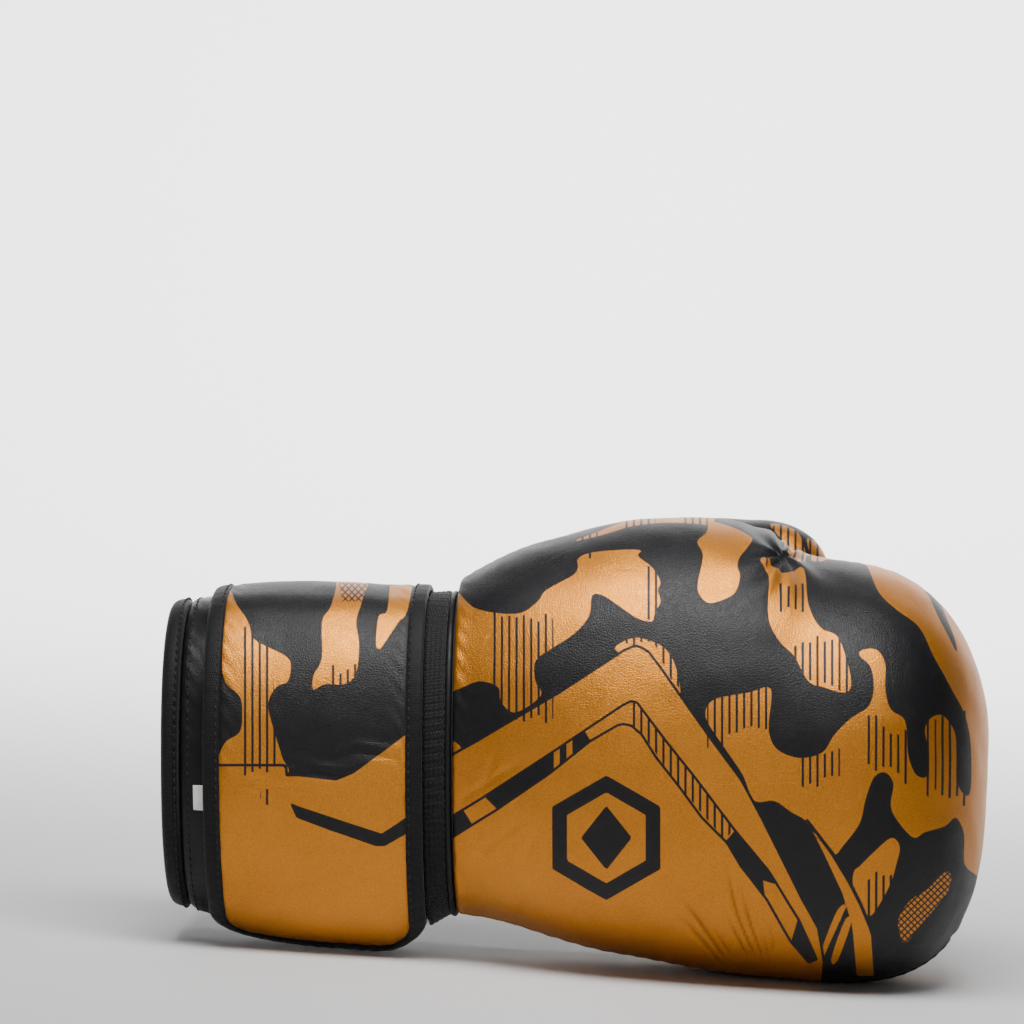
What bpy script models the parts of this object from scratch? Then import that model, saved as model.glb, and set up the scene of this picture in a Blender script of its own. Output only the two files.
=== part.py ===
"""Right-hand boxing glove with a hook-and-loop wrist strap, lying on its little-finger side.

+X runs from the cuff mouth to the fist, -Y is the back of the hand, +Y the palm, +Z the thumb side.
Every layer (leather, padding, lining) is a patch between two smooth surfaces of the glove.
"""

import bmesh
import bpy
import numpy as np

MM = 0.001
GAP = 0.3
LEATHER = 1.4
LINING = 1.2

HEM_X = -142.2
WRIST_X = -43.2
HAND_X = -40.6
TIP_X = 145.0
LEAN = 0.055
LEAN_Z = 70.0
CLOSE_X = 85.0
CAVITY_CLOSE_X = 62.0
CAVITY_TIP_X = 98.0
CLOSE_U = 0.6

CUFF_WALL = 9.0
HEM_WIDTH = 6.5
SLIT = (263.0, 277.0)
SLIT_END_X = -58.0

STRAP_X = (-126.6, -50.6)
BINDING = 6.0
CORNER = 15.0
STRAP_GAP = 0.8
FLAP_END = 169.0
ANCHOR = -117.0
FOLD_RISE = 1.0
LOOP_RISE = 2.7
STRAP_THICK = 2.0
HINGE_RISE = 1.3

THUMB_X = (-36.0, -14.0, 58.0, 87.0)
ROOT_U = 0.2
THUMB_WALL = 9.0
WINDOW_U = (0.14, 0.35)
WINDOW_V = (300, 345)

# Grid lines shared by all the layers of the hand, the thumb and the cuff.
HAND_U = (0, 0.07, 0.14, 0.21, 0.28, 0.35, 0.42, 0.49, 0.555, 0.62, 0.68, 0.74, 0.8, 0.86, 0.91, 0.96, 1.0)
HAND_V = (*range(0, 180, 15), 172.5, 180, 187.5, *range(195, 360, 15), 355)
THUMB_U = (0, 0.05, 0.1, 0.2, 0.3, 0.4, 0.5, 0.6, 0.7, 0.8, 0.88, 0.95, 1.0)
THUMB_V = tuple(range(0, 360, 24))
CUFF_V = tuple(range(0, 360, 15))

# Sections at stations along X in mm: half heights up and down, half widths to the back and to the palm.
CUFF_KEYS = {
    "x": (-146, -138, -128, -112, -100, -80, -62, -52, -44),
    "mid": (65, 65.5, 66, 66.5, 67, 67.5, 68, 69, 70),
    "up": (52, 53, 54.5, 57, 57.5, 58, 57.5, 57, 57),
    "down": (52, 54, 57, 60.8, 62.8, 64.0, 63.6, 60, 56),
    "back": (37, 38, 39, 40, 40, 40, 39.5, 39.5, 41),
    "palm": (36, 37, 38, 39, 39, 39, 38.5, 38.5, 39),
}
HAND_KEYS = {
    "x": (-48, -36, -22, -6, 12, 30, 48, 64, 76, 85),
    "mid": (70, 71, 72, 72, 72, 72, 72, 72, 72, 72),
    "up": (56.5, 63.5, 71, 77.5, 83.5, 86, 86.5, 83, 76, 74.5),
    "down": (56, 57, 60, 63.5, 67, 69, 71.2, 72.5, 73.0, 73.3),
    "back": (41, 45, 51, 57, 61, 63, 64, 64, 63.5, 63),
    "palm": (39, 39, 39, 39, 40, 43, 52, 60.5, 63.5, 64.1),
    "hollow": (0.0, 0.2, 0.36, 0.42, 0.46, 0.5, 0.52, 0.55, 0.56, 0.5),
}
CAVITY_KEYS = {
    "x": (-48, -25, 0, 30, 50, 62),
    "mid": (70, 72, 73, 74, 74, 74),
    "up": (47, 45, 43, 42, 41, 40),
    "down": (46, 45, 44, 43, 42, 41),
    "back": (31, 28, 27, 28, 29, 29),
    "palm": (29, 26, 24, 23, 23, 23),
    "hollow": (0.0, 0.2, 0.36, 0.4, 0.38, 0.34),
}
THUMB_KEYS = {
    "x": (-36, -14, 5, 25, 45, 58, 87),
    "side": (34.5, 38, 40, 41, 40.5, 39.5, 37),
    "mid": (104, 112.5, 119.5, 125.5, 128.5, 130, 132.5),
    "tall": (12, 18, 24, 27.5, 28, 26.5, 26),
    "wide": (11, 16, 20, 22, 22, 20.5, 20),
}

FINISHES = {
    "print": ((0.58, 0.30, 0.08), 0.38, 0.35),
    "black": ((0.012, 0.011, 0.012), 0.45, 0.0),
    "foam": ((0.32, 0.32, 0.30), 0.95, 0.0),
    "lining": ((0.02, 0.02, 0.022), 0.9, 0.0),
    "tape": ((0.01, 0.01, 0.011), 0.75, 0.0),
    "loop": ((0.015, 0.015, 0.016), 1.0, 0.0),
    "hook": ((0.03, 0.03, 0.032), 0.6, 0.0),
    "label": ((0.78, 0.78, 0.76), 0.7, 0.0),
    "elastic": ((0.02, 0.02, 0.02), 0.85, 0.0),
}


def clear_scene():
    for thing in list(bpy.data.objects):
        bpy.data.objects.remove(thing, do_unlink=True)


def smooth(keys, field, x):
    """Cubic curve through one row of section keys."""
    xs = np.array(keys["x"], float)
    ys = np.array(keys[field], float)
    slope = np.gradient(ys, xs)
    x = np.clip(x, xs[0], xs[-1])
    i = np.clip(np.searchsorted(xs, x) - 1, 0, len(xs) - 2)
    h = xs[i + 1] - xs[i]
    t = (x - xs[i]) / h
    a = (1 + 2 * t) * (1 - t) ** 2 * ys[i] + t * (1 - t) ** 2 * h * slope[i]
    b = t * t * (3 - 2 * t) * ys[i + 1] + t * t * (t - 1) * h * slope[i + 1]
    return a + b


def ring_point(angle, up, down, back, palm, hollow):
    """Y and Z offsets of a rounded section at an angle: 0 thumb side, 90 back of the hand, 270 palm.

    The hollow is how deep the recess for the thumb is, as a part of the section's reach.
    """
    turn = np.radians(angle)
    c = np.cos(turn)
    s = np.sin(turn)
    tall = np.where(c > 0, up, down)
    wide = np.where(s > 0, back, palm)
    reach = (np.abs(c / tall) ** 2.3 + np.abs(s / wide) ** 2.3) ** (-1 / 2.3)
    rise = np.clip((angle % 360 - 276) / 26, 0, 1)
    fall = np.clip((359 - angle % 360) / 30, 0, 1)
    dip = rise * rise * (3 - 2 * rise) * fall * fall * (3 - 2 * fall)
    reach = reach * (1 - hollow * dip)
    return -s * reach, c * reach


def closing(t, power):
    return np.maximum(1 - np.clip(t, 0, 1) ** power, 0) ** (1 / power)


def hand_station(u, start, close, tip):
    """X and how far round the closing end a station is, for u from 0 at the wrist to 1 at the end."""
    t = np.sin(np.clip((u - CLOSE_U) / (1 - CLOSE_U), 0, 1) * np.pi / 2)
    x = start + (close - start) * np.minimum(u / CLOSE_U, 1)
    return x, np.where(u > CLOSE_U, close + (tip - close) * t, x), t


def lean(z):
    """How far the cuff's rings lean back from upright at a height: the wrist is bent a little."""
    return LEAN * (z - LEAN_Z)


def wrist_share(u):
    t = np.clip(1 - u / 0.35, 0, 1)
    return t * t * (3 - 2 * t)


def hand_outside(u, v):
    x, along, t = hand_station(u, HAND_X, CLOSE_X, TIP_X)
    up = smooth(HAND_KEYS, "up", x) * closing(t, 2.4)
    down = smooth(HAND_KEYS, "down", x) * closing(t, 3.2)
    back = smooth(HAND_KEYS, "back", x) * closing(t, 2.3)
    palm = smooth(HAND_KEYS, "palm", x) * closing(t, 2.3)
    hollow = smooth(HAND_KEYS, "hollow", x) * np.maximum(1 - t / 0.4, 0) ** 1.5
    y, z = ring_point(v, up + 1e-4, down + 1e-4, back + 1e-4, palm + 1e-4, hollow)
    z = np.maximum(z + smooth(HAND_KEYS, "mid", x), 0)
    return along - lean(z) * wrist_share(u), y, z


def hand_inside(u, v):
    x, along, t = hand_station(u, HAND_X, CAVITY_CLOSE_X, CAVITY_TIP_X)
    shrink = closing(t, 2.4)
    sides = [smooth(CAVITY_KEYS, side, x) * shrink + 1e-4 for side in ("up", "down", "back", "palm")]
    y, z = ring_point(v, *sides, smooth(CAVITY_KEYS, "hollow", x))
    z = z + smooth(CAVITY_KEYS, "mid", x)
    return along - lean(z) * wrist_share(u), y, z


def cuff_outside(u, v):
    """u is X in mm at the middle height."""
    sides = [smooth(CUFF_KEYS, side, u) for side in ("up", "down", "back", "palm")]
    y, z = ring_point(v, *sides, 0.0)
    z = z + smooth(CUFF_KEYS, "mid", u)
    return u - lean(z), y, z


def cuff_inside(u, v):
    sides = [smooth(CUFF_KEYS, side, u) - CUFF_WALL for side in ("up", "down", "back", "palm")]
    y, z = ring_point(v, *sides, 0.0)
    z = z + smooth(CUFF_KEYS, "mid", u)
    return u - lean(z), y, z


def thumb_surface(u, v, shrink):
    """A mitten thumb, rounded at both ends; u is 0 at its root and 1 at its tip."""
    root = np.cos(np.clip(u / ROOT_U, 0, 1) * np.pi / 2)
    end = np.sin(np.clip((u - CLOSE_U) / (1 - CLOSE_U), 0, 1) * np.pi / 2)
    middle = np.clip((u - ROOT_U) / (CLOSE_U - ROOT_U), 0, 1)
    along = THUMB_X[1] + (THUMB_X[2] - THUMB_X[1]) * middle
    along = along - (THUMB_X[1] - THUMB_X[0] - shrink) * root + (THUMB_X[3] - THUMB_X[2] - shrink) * end
    x = np.clip(along, THUMB_X[1], THUMB_X[2])
    factor = closing(root, 2.2) * closing(end, 2.3)
    tall = (smooth(THUMB_KEYS, "tall", x) - shrink) * factor + 1e-4
    wide = (smooth(THUMB_KEYS, "wide", x) - shrink) * factor + 1e-4
    y, z = ring_point(v, tall, tall, wide, wide, 0.0)
    return along, y + smooth(THUMB_KEYS, "side", along), z + smooth(THUMB_KEYS, "mid", along)


def thumb_outside(u, v):
    return thumb_surface(u, v, 0.0)


def thumb_inside(u, v):
    return thumb_surface(u, v, THUMB_WALL)


def layer(outside, inside, u, v, depth):
    """Point at a depth in mm: from the outside when it is zero or more, else from the inside surface."""
    a = np.stack(np.broadcast_arrays(*outside(u, v)), -1).astype(float)
    b = np.stack(np.broadcast_arrays(*inside(u, v)), -1).astype(float)
    length = np.maximum(np.linalg.norm(b - a, axis=-1, keepdims=True), 1e-6)
    depth = np.asarray(depth, float)[..., None] if np.ndim(depth) else depth
    part = np.where(np.asarray(depth) >= 0, depth / length, 1 + depth / length)
    return a + (b - a) * part


def collection(name):
    made = bpy.data.collections.new(name)
    bpy.context.scene.collection.children.link(made)
    return made


def material(name):
    if name in bpy.data.materials:
        return bpy.data.materials[name]
    colour, roughness, metallic = FINISHES[name]
    made = bpy.data.materials.new(name)
    made.use_nodes = True
    shader = made.node_tree.nodes["Principled BSDF"]
    shader.inputs["Base Color"].default_value = (*colour, 1)
    shader.inputs["Roughness"].default_value = roughness
    shader.inputs["Metallic"].default_value = metallic
    return made


def add_solid(name, points, faces, slot, parent):
    """Adds one closed solid, in mm in the glove's frame, as an object under its parent empty."""
    shape = bmesh.new()
    corners = [shape.verts.new(np.array(p) * MM) for p in points]
    for face in faces:
        ring = [corners[k] for n, k in enumerate(face) if k != face[n - 1]]
        if len(set(ring)) > 2:
            shape.faces.new(ring)
    bmesh.ops.remove_doubles(shape, verts=shape.verts, dist=2e-6)
    bmesh.ops.dissolve_degenerate(shape, edges=shape.edges, dist=2e-6)
    bmesh.ops.triangulate(shape, faces=shape.faces)
    bmesh.ops.recalc_face_normals(shape, faces=shape.faces)
    if shape.calc_volume(signed=True) < 0:
        bmesh.ops.reverse_faces(shape, faces=shape.faces)
    mesh = bpy.data.meshes.new(name)
    shape.to_mesh(mesh)
    shape.free()
    mesh.materials.append(material(slot))
    thing = bpy.data.objects.new(name, mesh)
    GLOVE.objects.link(thing)
    thing.parent = parent
    thing.matrix_parent_inverse = parent.matrix_world.inverted()
    return thing


def sheet_solid(name, top, bottom, keep, slot, parent, loop=False):
    """Closed solid from two grids of points, over the cells to keep, with walls at their edges."""
    rows, columns = top.shape[:2]
    count = rows * columns
    points = np.concatenate([top.reshape(-1, 3), bottom.reshape(-1, 3)])
    wide = columns if loop else columns - 1
    faces = []

    def corner(i, j):
        return i * columns + j % columns

    def kept(i, j):
        if loop:
            j = j % columns
        return 0 <= i < rows - 1 and 0 <= j < wide and keep[i, j]

    for i in range(rows - 1):
        for j in range(wide):
            if not kept(i, j):
                continue
            quad = [corner(i, j), corner(i + 1, j), corner(i + 1, j + 1), corner(i, j + 1)]
            for half in (quad[:3], [quad[0], quad[2], quad[3]]):
                faces.append(half)
                faces.append([k + count for k in half[::-1]])
            around = ((i, j - 1), (i + 1, j), (i, j + 1), (i - 1, j))
            for n, cell in enumerate(around):
                if not kept(*cell):
                    a = quad[n]
                    b = quad[(n + 1) % 4]
                    faces.append([b, a, a + count, b + count])
    used = sorted({k for face in faces for k in face})
    new = {k: n for n, k in enumerate(used)}
    return add_solid(name, points[used], [[new[k] for k in face] for face in faces], slot, parent)


def patch(name, surfaces, us, vs, depths, slot, parent, keep=None, loop=False):
    """One layer of the glove over a grid of stations and angles."""
    u, v = np.meshgrid(us, vs, indexing="ij")
    top = layer(*surfaces, u, v, depths[0])
    bottom = layer(*surfaces, u, v, depths[1])
    cells = np.ones((len(us), len(vs)), bool)
    if keep is not None:
        for i in range(len(us) - 1):
            for j in range(len(vs)):
                after = vs[(j + 1) % len(vs)] + (360 if j + 1 == len(vs) else 0)
                cells[i, j] = keep((us[i] + us[i + 1]) / 2, (vs[j] + after) / 2 % 360)
    return sheet_solid(name, top, bottom, cells, slot, parent, loop)


def spread(low, high, count):
    return np.linspace(low, high, count)


def lines(low, high, marks):
    """The grid lines from low to high with both ends, so that neighbouring layers share their facets."""
    turns = np.array(marks)
    if turns.max() > 2:
        turns = np.concatenate([turns - 360, turns, turns + 360])
    within = turns[(turns > low + 1e-6) & (turns < high - 1e-6)]
    ends = 0.02 * (high - low) / max(len(within), 1)
    within = within[(within > low + ends) & (within < high - ends)]
    return np.array([low, *np.sort(within), high])


def hinge_empty(name, place, parent=None):
    made = bpy.data.objects.new(name, None)
    made.empty_display_size = 0.02
    GLOVE.objects.link(made)
    made.location = np.array(place) * MM
    if parent is not None:
        made.parent = parent
        made.location = (np.array(place) * MM) - np.array(parent.matrix_world.translation)
    bpy.context.view_layer.update()
    return made


def off_cuff(x, v, height):
    """Point a height in mm above the cuff's outside."""
    a = np.stack(np.broadcast_arrays(*cuff_outside(x, v)), -1).astype(float)
    b = np.stack(np.broadcast_arrays(*cuff_inside(x, v)), -1).astype(float)
    out = (a - b) / np.linalg.norm(a - b, axis=-1, keepdims=True)
    return a + out * np.asarray(height, float)[..., None]


def arc_table():
    """Length of arc round the middle of the cuff, zero at the thumb side, and the angle it belongs to."""
    angles = np.linspace(-140, 200, 681)
    x, y, z = cuff_outside(np.full(angles.shape, -92.0), angles)
    arc = np.concatenate([[0], np.cumsum(np.hypot(np.diff(y), np.diff(z)))])
    return arc - np.interp(0, angles, arc), angles


def arc_at(angle):
    arcs, angles = arc_table()
    return float(np.interp(angle, angles, arcs))


def strap_arcs(low, high):
    """Lengths of arc at the cuff's grid lines, from low to high."""
    marks = np.array([arc_at(v) for v in range(-120, 181, 15)])
    within = marks[(marks > low + 2) & (marks < high - 2)]
    return np.array([low, *within, high])


def lift(v, base):
    """Height of the flap's layers: they rise over the hook-and-loop patches, away from the fold."""
    t = np.clip((v - 6) / 24, 0, 1)
    return base + (LOOP_RISE - FOLD_RISE) * t * t * (3 - 2 * t)


def on_strap(x, arc, base, rise=True):
    arcs, angles = arc_table()
    v = np.interp(arc, arcs, angles)
    return off_cuff(x, v, lift(v, base) if rise else np.full(v.shape, float(base)))


def flap_outline(inset):
    """The flap's open outline in (x, arc) mm, down one side, round both corners and up the other."""
    left = STRAP_X[0] + inset
    right = STRAP_X[1] - inset
    end = arc_at(FLAP_END) - inset
    start = STRAP_GAP
    radius = CORNER - inset
    side = strap_arcs(start, end - radius)
    points = [(left, a) for a in side]
    turns = spread(0, np.pi / 2, 6)[1:]
    centre = (left + radius, end - radius)
    points += [(centre[0] - radius * np.cos(t), centre[1] + radius * np.sin(t)) for t in turns]
    points += [(a, end) for a in spread(left + radius, right - radius, 5)[1:]]
    centre = (right - radius, end - radius)
    points += [(centre[0] + radius * np.sin(t), centre[1] + radius * np.cos(t)) for t in turns]
    points += [(right, a) for a in side[::-1][1:]]
    return np.array(points)


def strip_on_strap(name, edge_a, edge_b, heights, slot, parent, rise=True, rows=2):
    """A ribbon between two matching outlines on the strap."""
    part = spread(0, 1, rows)[:, None, None]
    flat = edge_a[None] * (1 - part) + edge_b[None] * part
    grids = [on_strap(flat[..., 0], flat[..., 1], height, rise) for height in heights]
    keep = np.ones(grids[0].shape[:2], bool)
    return sheet_solid(name, grids[0], grids[1], keep, slot, parent)


def field_on_strap(name, inset, heights, slot, parent, start=STRAP_GAP, short=0.0):
    """The part of the flap inside its binding, with the corners rounded."""
    left = STRAP_X[0] + inset
    right = STRAP_X[1] - inset
    end = arc_at(FLAP_END) - inset - short
    radius = max(CORNER - inset, 3.0)
    arcs = np.concatenate([
        strap_arcs(start, end - radius),
        end - radius + radius * np.sin(spread(0, np.pi / 2, 5)[1:]),
    ])
    cut = radius - np.sqrt(np.maximum(radius ** 2 - np.clip(arcs - end + radius, 0, radius) ** 2, 0))
    across = spread(0, 1, 5)
    x = left + cut[:, None] + (right - left - 2 * cut[:, None]) * across[None, :]
    arc = np.repeat(arcs[:, None], 5, 1)
    grids = [on_strap(x, arc, height) for height in heights]
    return sheet_solid(name, grids[0], grids[1], np.ones(x.shape, bool), slot, parent)


def bridge(name, stations, sides, sag, parent):
    """A strip of leather from the hand's edge to the thumb, at matching stations of both."""
    top = []
    for hand_u, thumb_u in stations:
        a = np.array(hand_outside(np.array(hand_u), np.array(float(sides[0]))), float)
        b = np.array(thumb_outside(np.array(thumb_u), np.array(float(sides[1]))), float)
        along = (b - a) / np.linalg.norm(b - a)
        a = a + np.array([0, 3.0, 0.6])
        b = b - along * 1.6 + np.array([0, 0, 1.6])
        top.append([a + (b - a) * t - np.array([0, 0, sag * 4 * t * (1 - t)]) for t in (0, 0.33, 0.67, 1)])
    top = np.array(top)
    under = top - np.array([0, 0, LEATHER])
    return sheet_solid(name, top, under, np.ones(top.shape[:2], bool), "black", parent)


def cuff_ring(name, xs, vs, heights, slot, parent, loop=False):
    """A layer at heights in mm above the cuff's outside; negative heights lie within its wall."""
    x, v = np.meshgrid(xs, vs, indexing="ij")
    grids = [off_cuff(x, v, np.full(x.shape, float(height))) for height in heights]
    return sheet_solid(name, *grids, np.ones(x.shape, bool), slot, parent, loop)


def cuff_cord(name, x, vs, sink, radius, slot, parent, sides=6):
    """A round cord that runs all the way round the cuff."""
    points = []
    for v in vs:
        centre = off_cuff(np.array(x), np.array(v), np.array(-sink))
        out = off_cuff(np.array(x), np.array(v), np.array(1.0 - sink)) - centre
        for t in spread(0, 2 * np.pi, sides + 1)[:-1]:
            points.append(centre + radius * (np.cos(t) * out + np.sin(t) * np.array([1.0, 0, 0])))
    faces = []
    for i in range(len(vs)):
        here = i * sides
        after = (i + 1) % len(vs) * sides
        for j in range(sides):
            k = (j + 1) % sides
            faces.append([here + j, after + j, after + k, here + k])
    return add_solid(name, np.array(points), faces, slot, parent)


def between(angle, low, high):
    return low < angle % 360 < high


def open_window(u, v):
    """False over the hole from the hand's hollow to the thumb's."""
    return not (WINDOW_U[0] < u < WINDOW_U[1] and between(v, *WINDOW_V))


def open_thumb(u, v):
    return not (0.2 < u < 0.4 and between(v, 96, 168))


clear_scene()
GLOVE = collection("boxing_glove")
root = hinge_empty("glove", (0, 0, 0))
HAND = (hand_outside, hand_inside)
CUFF = (cuff_outside, cuff_inside)
THUMB = (thumb_outside, thumb_inside)
SKIN = (0.0, LEATHER)
PAD = (LEATHER + 1.6 * GAP, -(LINING + 1.6 * GAP))
DEEP_PAD = (LEATHER + 5 * GAP, PAD[1])
SLEEVE = (-LINING, -0.001)

# Hand: leather panels, padding and lining.
patch("back_leather", HAND, HAND_U, HAND_V, SKIN, "print", root,
      lambda u, v: u > 0.86 or not between(v, 165, 354), loop=True)
patch("little_side_leather", HAND, lines(0, 0.857, HAND_U), lines(165.4, 194.6, HAND_V), SKIN, "print",
      root)
patch("palm_leather", HAND, lines(0, 0.42, HAND_U), lines(195.4, 354.6, HAND_V), SKIN, "black", root,
      open_window)
patch("finger_roll_leather", HAND, lines(0.423, 0.857, HAND_U), lines(195.4, 354.6, HAND_V), SKIN, "print",
      root)

patch("back_foam", HAND, lines(0, 0.553, HAND_U), lines(30.4, 149.6, HAND_V), PAD, "foam", root)
patch("index_side_foam", HAND, lines(0, 0.553, HAND_U), lines(-74.6, 29.6, HAND_V), DEEP_PAD, "foam", root,
      open_window)
patch("little_side_foam", HAND, lines(0, 0.553, HAND_U), lines(150.4, 209.6, HAND_V), PAD, "foam", root)
patch("palm_foam", HAND, lines(0, 0.553, HAND_U), lines(210.4, 284.6, HAND_V), DEEP_PAD, "foam", root)
patch("knuckle_foam", HAND, lines(0.557, 1.0, HAND_U), HAND_V, PAD, "foam", root,
      lambda u, v: u > 0.8 or not between(v, 195, 330), loop=True)
patch("finger_roll_foam", HAND, lines(0.557, 0.797, HAND_U), lines(195.4, 329.6, HAND_V), PAD, "foam", root)
patch("hand_lining", HAND, HAND_U, HAND_V, SLEEVE, "lining", root, open_window, loop=True)

# Thumb: two leather halves, padding and lining, open towards the hand.
patch("thumb_outer_leather", THUMB, lines(0.03, 1.0, THUMB_U), THUMB_V, SKIN, "print", root,
      lambda u, v: u > 0.88 or not between(v, 96, 264), loop=True)
patch("thumb_inner_leather", THUMB, lines(0.03, 0.876, THUMB_U), lines(97, 263, THUMB_V), SKIN, "black", root,
      open_thumb)
patch("thumb_foam", THUMB, THUMB_U, THUMB_V, PAD, "foam", root, open_thumb, loop=True)
patch("thumb_lining", THUMB, THUMB_U, THUMB_V, SLEEVE, "lining", root, open_thumb, loop=True)

# Web: the leather that joins the thumb to the edge of the hand, and the lock at its tip.
WEB_STATIONS = ((0.07, 0.1), (0.14, 0.2), (0.21, 0.3), (0.28, 0.35), (0.35, 0.4), (0.42, 0.5), (0.49, 0.6),
                (0.55, 0.7))
bridge("thumb_web", WEB_STATIONS,
       (350.0, 66), 1.5, root)
bridge("thumb_lock", ((0.6, 0.84), (0.64, 0.89), (0.67, 0.93)), (352.0, 56), 0.0, root)

# Cuff: two leather layers with padding between them, slit open along the palm.
slit_vs = lines(SLIT[1] - 360, SLIT[0], CUFF_V)
hem_in = HEM_X + HEM_WIDTH + GAP
band_in = WRIST_X - 7.6
cuff_xs = spread(hem_in, band_in, 6)
patch("cuff_leather", CUFF, cuff_xs, slit_vs, SKIN, "black", root)
patch("cuff_foam", CUFF, [*cuff_xs, WRIST_X], slit_vs, PAD, "foam", root)
patch("cuff_lining", CUFF, [*cuff_xs, WRIST_X], slit_vs, SLEEVE, "lining", root)
cuff_ring("hem_binding", (HEM_X, HEM_X + HEM_WIDTH), slit_vs, (0.7, 0.2 - CUFF_WALL), "tape", root)
cuff_ring("wrist_band", (band_in + GAP, WRIST_X - 0.4), CUFF_V, (0.5, -LEATHER), "tape", root, loop=True)
cuff_cord("wrist_piping", WRIST_X + 1.3, CUFF_V, 0.4, 1.1, "black", root)
cuff_ring("elastic_gusset", spread(hem_in, SLIT_END_X, 4), (SLIT[0] + 0.6, 270, SLIT[1] - 0.6),
          (-2.0, -3.2), "elastic", root)
cuff_ring("loop_patch", spread(-118.1, -59.1, 5), lines(38, 150, CUFF_V), (1.2, 0.5), "loop", root)
cuff_ring("size_tag", (-130.4, -126.2), spread(101, 113, 3), (0.8, 0.3), "label", root)

# Strap: sewn down on the palm, over the slit and the thumb side, then down the back to its free end.
anchor_arc = arc_at(ANCHOR)
base = (FOLD_RISE + STRAP_THICK, FOLD_RISE)
edge = (FOLD_RISE + STRAP_THICK + 0.5, FOLD_RISE - 0.3)
cuff_ring("strap_anchor", spread(STRAP_X[0], STRAP_X[1], 4), lines(ANCHOR - 9, ANCHOR - 0.7, CUFF_V),
          (base[0], 0.6), "black", root)

wrap_place = on_strap(np.array(-92.5), np.array(anchor_arc), base[0], False)
wrap_hinge = hinge_empty("strap_wrap", wrap_place, root)
wrap_arcs = strap_arcs(anchor_arc, -STRAP_GAP)
for name, a, b, heights, slot in (
    ("strap_wrap_panel", STRAP_X[0] + BINDING + GAP, STRAP_X[1] - BINDING - GAP, base, "print"),
    ("strap_wrap_hem_binding", STRAP_X[0], STRAP_X[0] + BINDING, edge, "tape"),
    ("strap_wrap_wrist_binding", STRAP_X[1] - BINDING, STRAP_X[1], edge, "tape"),
):
    one = np.stack([np.full(len(wrap_arcs), a), wrap_arcs], -1)
    two = np.stack([np.full(len(wrap_arcs), b), wrap_arcs], -1)
    strip_on_strap(name, one, two, heights, slot, wrap_hinge, rise=False, rows=6 if slot == "print" else 2)

fold = on_strap(np.array(-92.5), np.array(0.0), base[0] + HINGE_RISE, False)
flap_hinge = hinge_empty("strap_flap", fold, wrap_hinge)
field_on_strap("strap_flap_panel", BINDING + GAP, base, "print", flap_hinge)
strip_on_strap("strap_flap_binding", flap_outline(0.0), flap_outline(BINDING), edge, "tape", flap_hinge)
field_on_strap("hook_patch", BINDING + 3.0, (base[1] - 0.75, base[1] - 1.15), "hook", flap_hinge,
               start=arc_at(45), short=6.0)
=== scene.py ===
"""Looks of a right-hand boxing glove: fine leather, print, stitching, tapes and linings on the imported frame.

+X runs from the cuff mouth to the fist, -Y is the back of the hand, +Y the palm, +Z the thumb side.
Lengths are in mm until a mesh is made. Angles round the glove are in degrees: 0 on the thumb side, 90 on the
back, 270 on the palm. Stations along the hand and the thumb run from 0 to 1, and along the cuff in mm of X.
"""

import bpy
import numpy as np
from mathutils import Matrix, Vector, bvhtree, kdtree


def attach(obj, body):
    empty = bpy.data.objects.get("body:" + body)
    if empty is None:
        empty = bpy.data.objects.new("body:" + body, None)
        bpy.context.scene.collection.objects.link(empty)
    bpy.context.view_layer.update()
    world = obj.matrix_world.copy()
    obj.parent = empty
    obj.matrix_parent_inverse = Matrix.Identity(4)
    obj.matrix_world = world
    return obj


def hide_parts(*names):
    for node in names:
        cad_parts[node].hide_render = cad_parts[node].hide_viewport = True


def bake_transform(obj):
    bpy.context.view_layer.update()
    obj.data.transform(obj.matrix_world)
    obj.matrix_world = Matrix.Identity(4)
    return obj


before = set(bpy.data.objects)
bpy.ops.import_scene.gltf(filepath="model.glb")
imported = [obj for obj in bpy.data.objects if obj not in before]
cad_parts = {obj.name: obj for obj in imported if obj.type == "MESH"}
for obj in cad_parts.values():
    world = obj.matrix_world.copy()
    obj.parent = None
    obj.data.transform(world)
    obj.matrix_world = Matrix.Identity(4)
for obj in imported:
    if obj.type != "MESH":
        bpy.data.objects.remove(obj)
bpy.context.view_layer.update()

MM = 0.001
HEM_X = -142.2
HEM_WIDTH = 6.5
WRIST_X = -43.2
HAND_X = -40.6
TIP_X = 145.0
CLOSE_X = 85.0
CAVITY_CLOSE_X = 62.0
CAVITY_TIP_X = 98.0
CLOSE_U = 0.6
LEAN = 0.055
LEAN_Z = 70.0
CUFF_WALL = 9.0
SLIT = (263.0, 277.0)
SLIT_END_X = -58.0
STRAP_X = (-126.6, -50.6)
BINDING = 6.0
CORNER = 15.0
FLAP_END = 169.0
ANCHOR = -117.0
SPLIT_ARC = -30.0
FOLD_RISE = 1.0
LOOP_RISE = 2.7
STRAP_THICK = 2.0
THUMB_X = (-36.0, -14.0, 58.0, 87.0)
ROOT_U = 0.2
THUMB_WALL = 9.0
WINDOW_U = (0.14, 0.35)
WINDOW_V = (300.0, 345.0)
THUMB_WINDOW = ((0.2, 0.4), (96.0, 168.0))
BACK_SECTOR = (-5.0, 165.0)
SIDE_SECTOR = (165.5, 194.5)
PALM_SECTOR = (195.5, 354.5)
BACK_SPLIT_U = 0.861
FIST_SEAM_U = 0.857
PALM_END_U = 0.419
ROLL_START_U = 0.424
CUFF_MIDDLE_X = -90.0
TAG_X = (-130.4, -126.2)
TAG_V = (101.0, 113.0)
LOOP_X = (-118.1, -59.1)
LOOP_V = (38.0, 150.0)
HOOK_START = 45.0
STEP = 1.0

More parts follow.
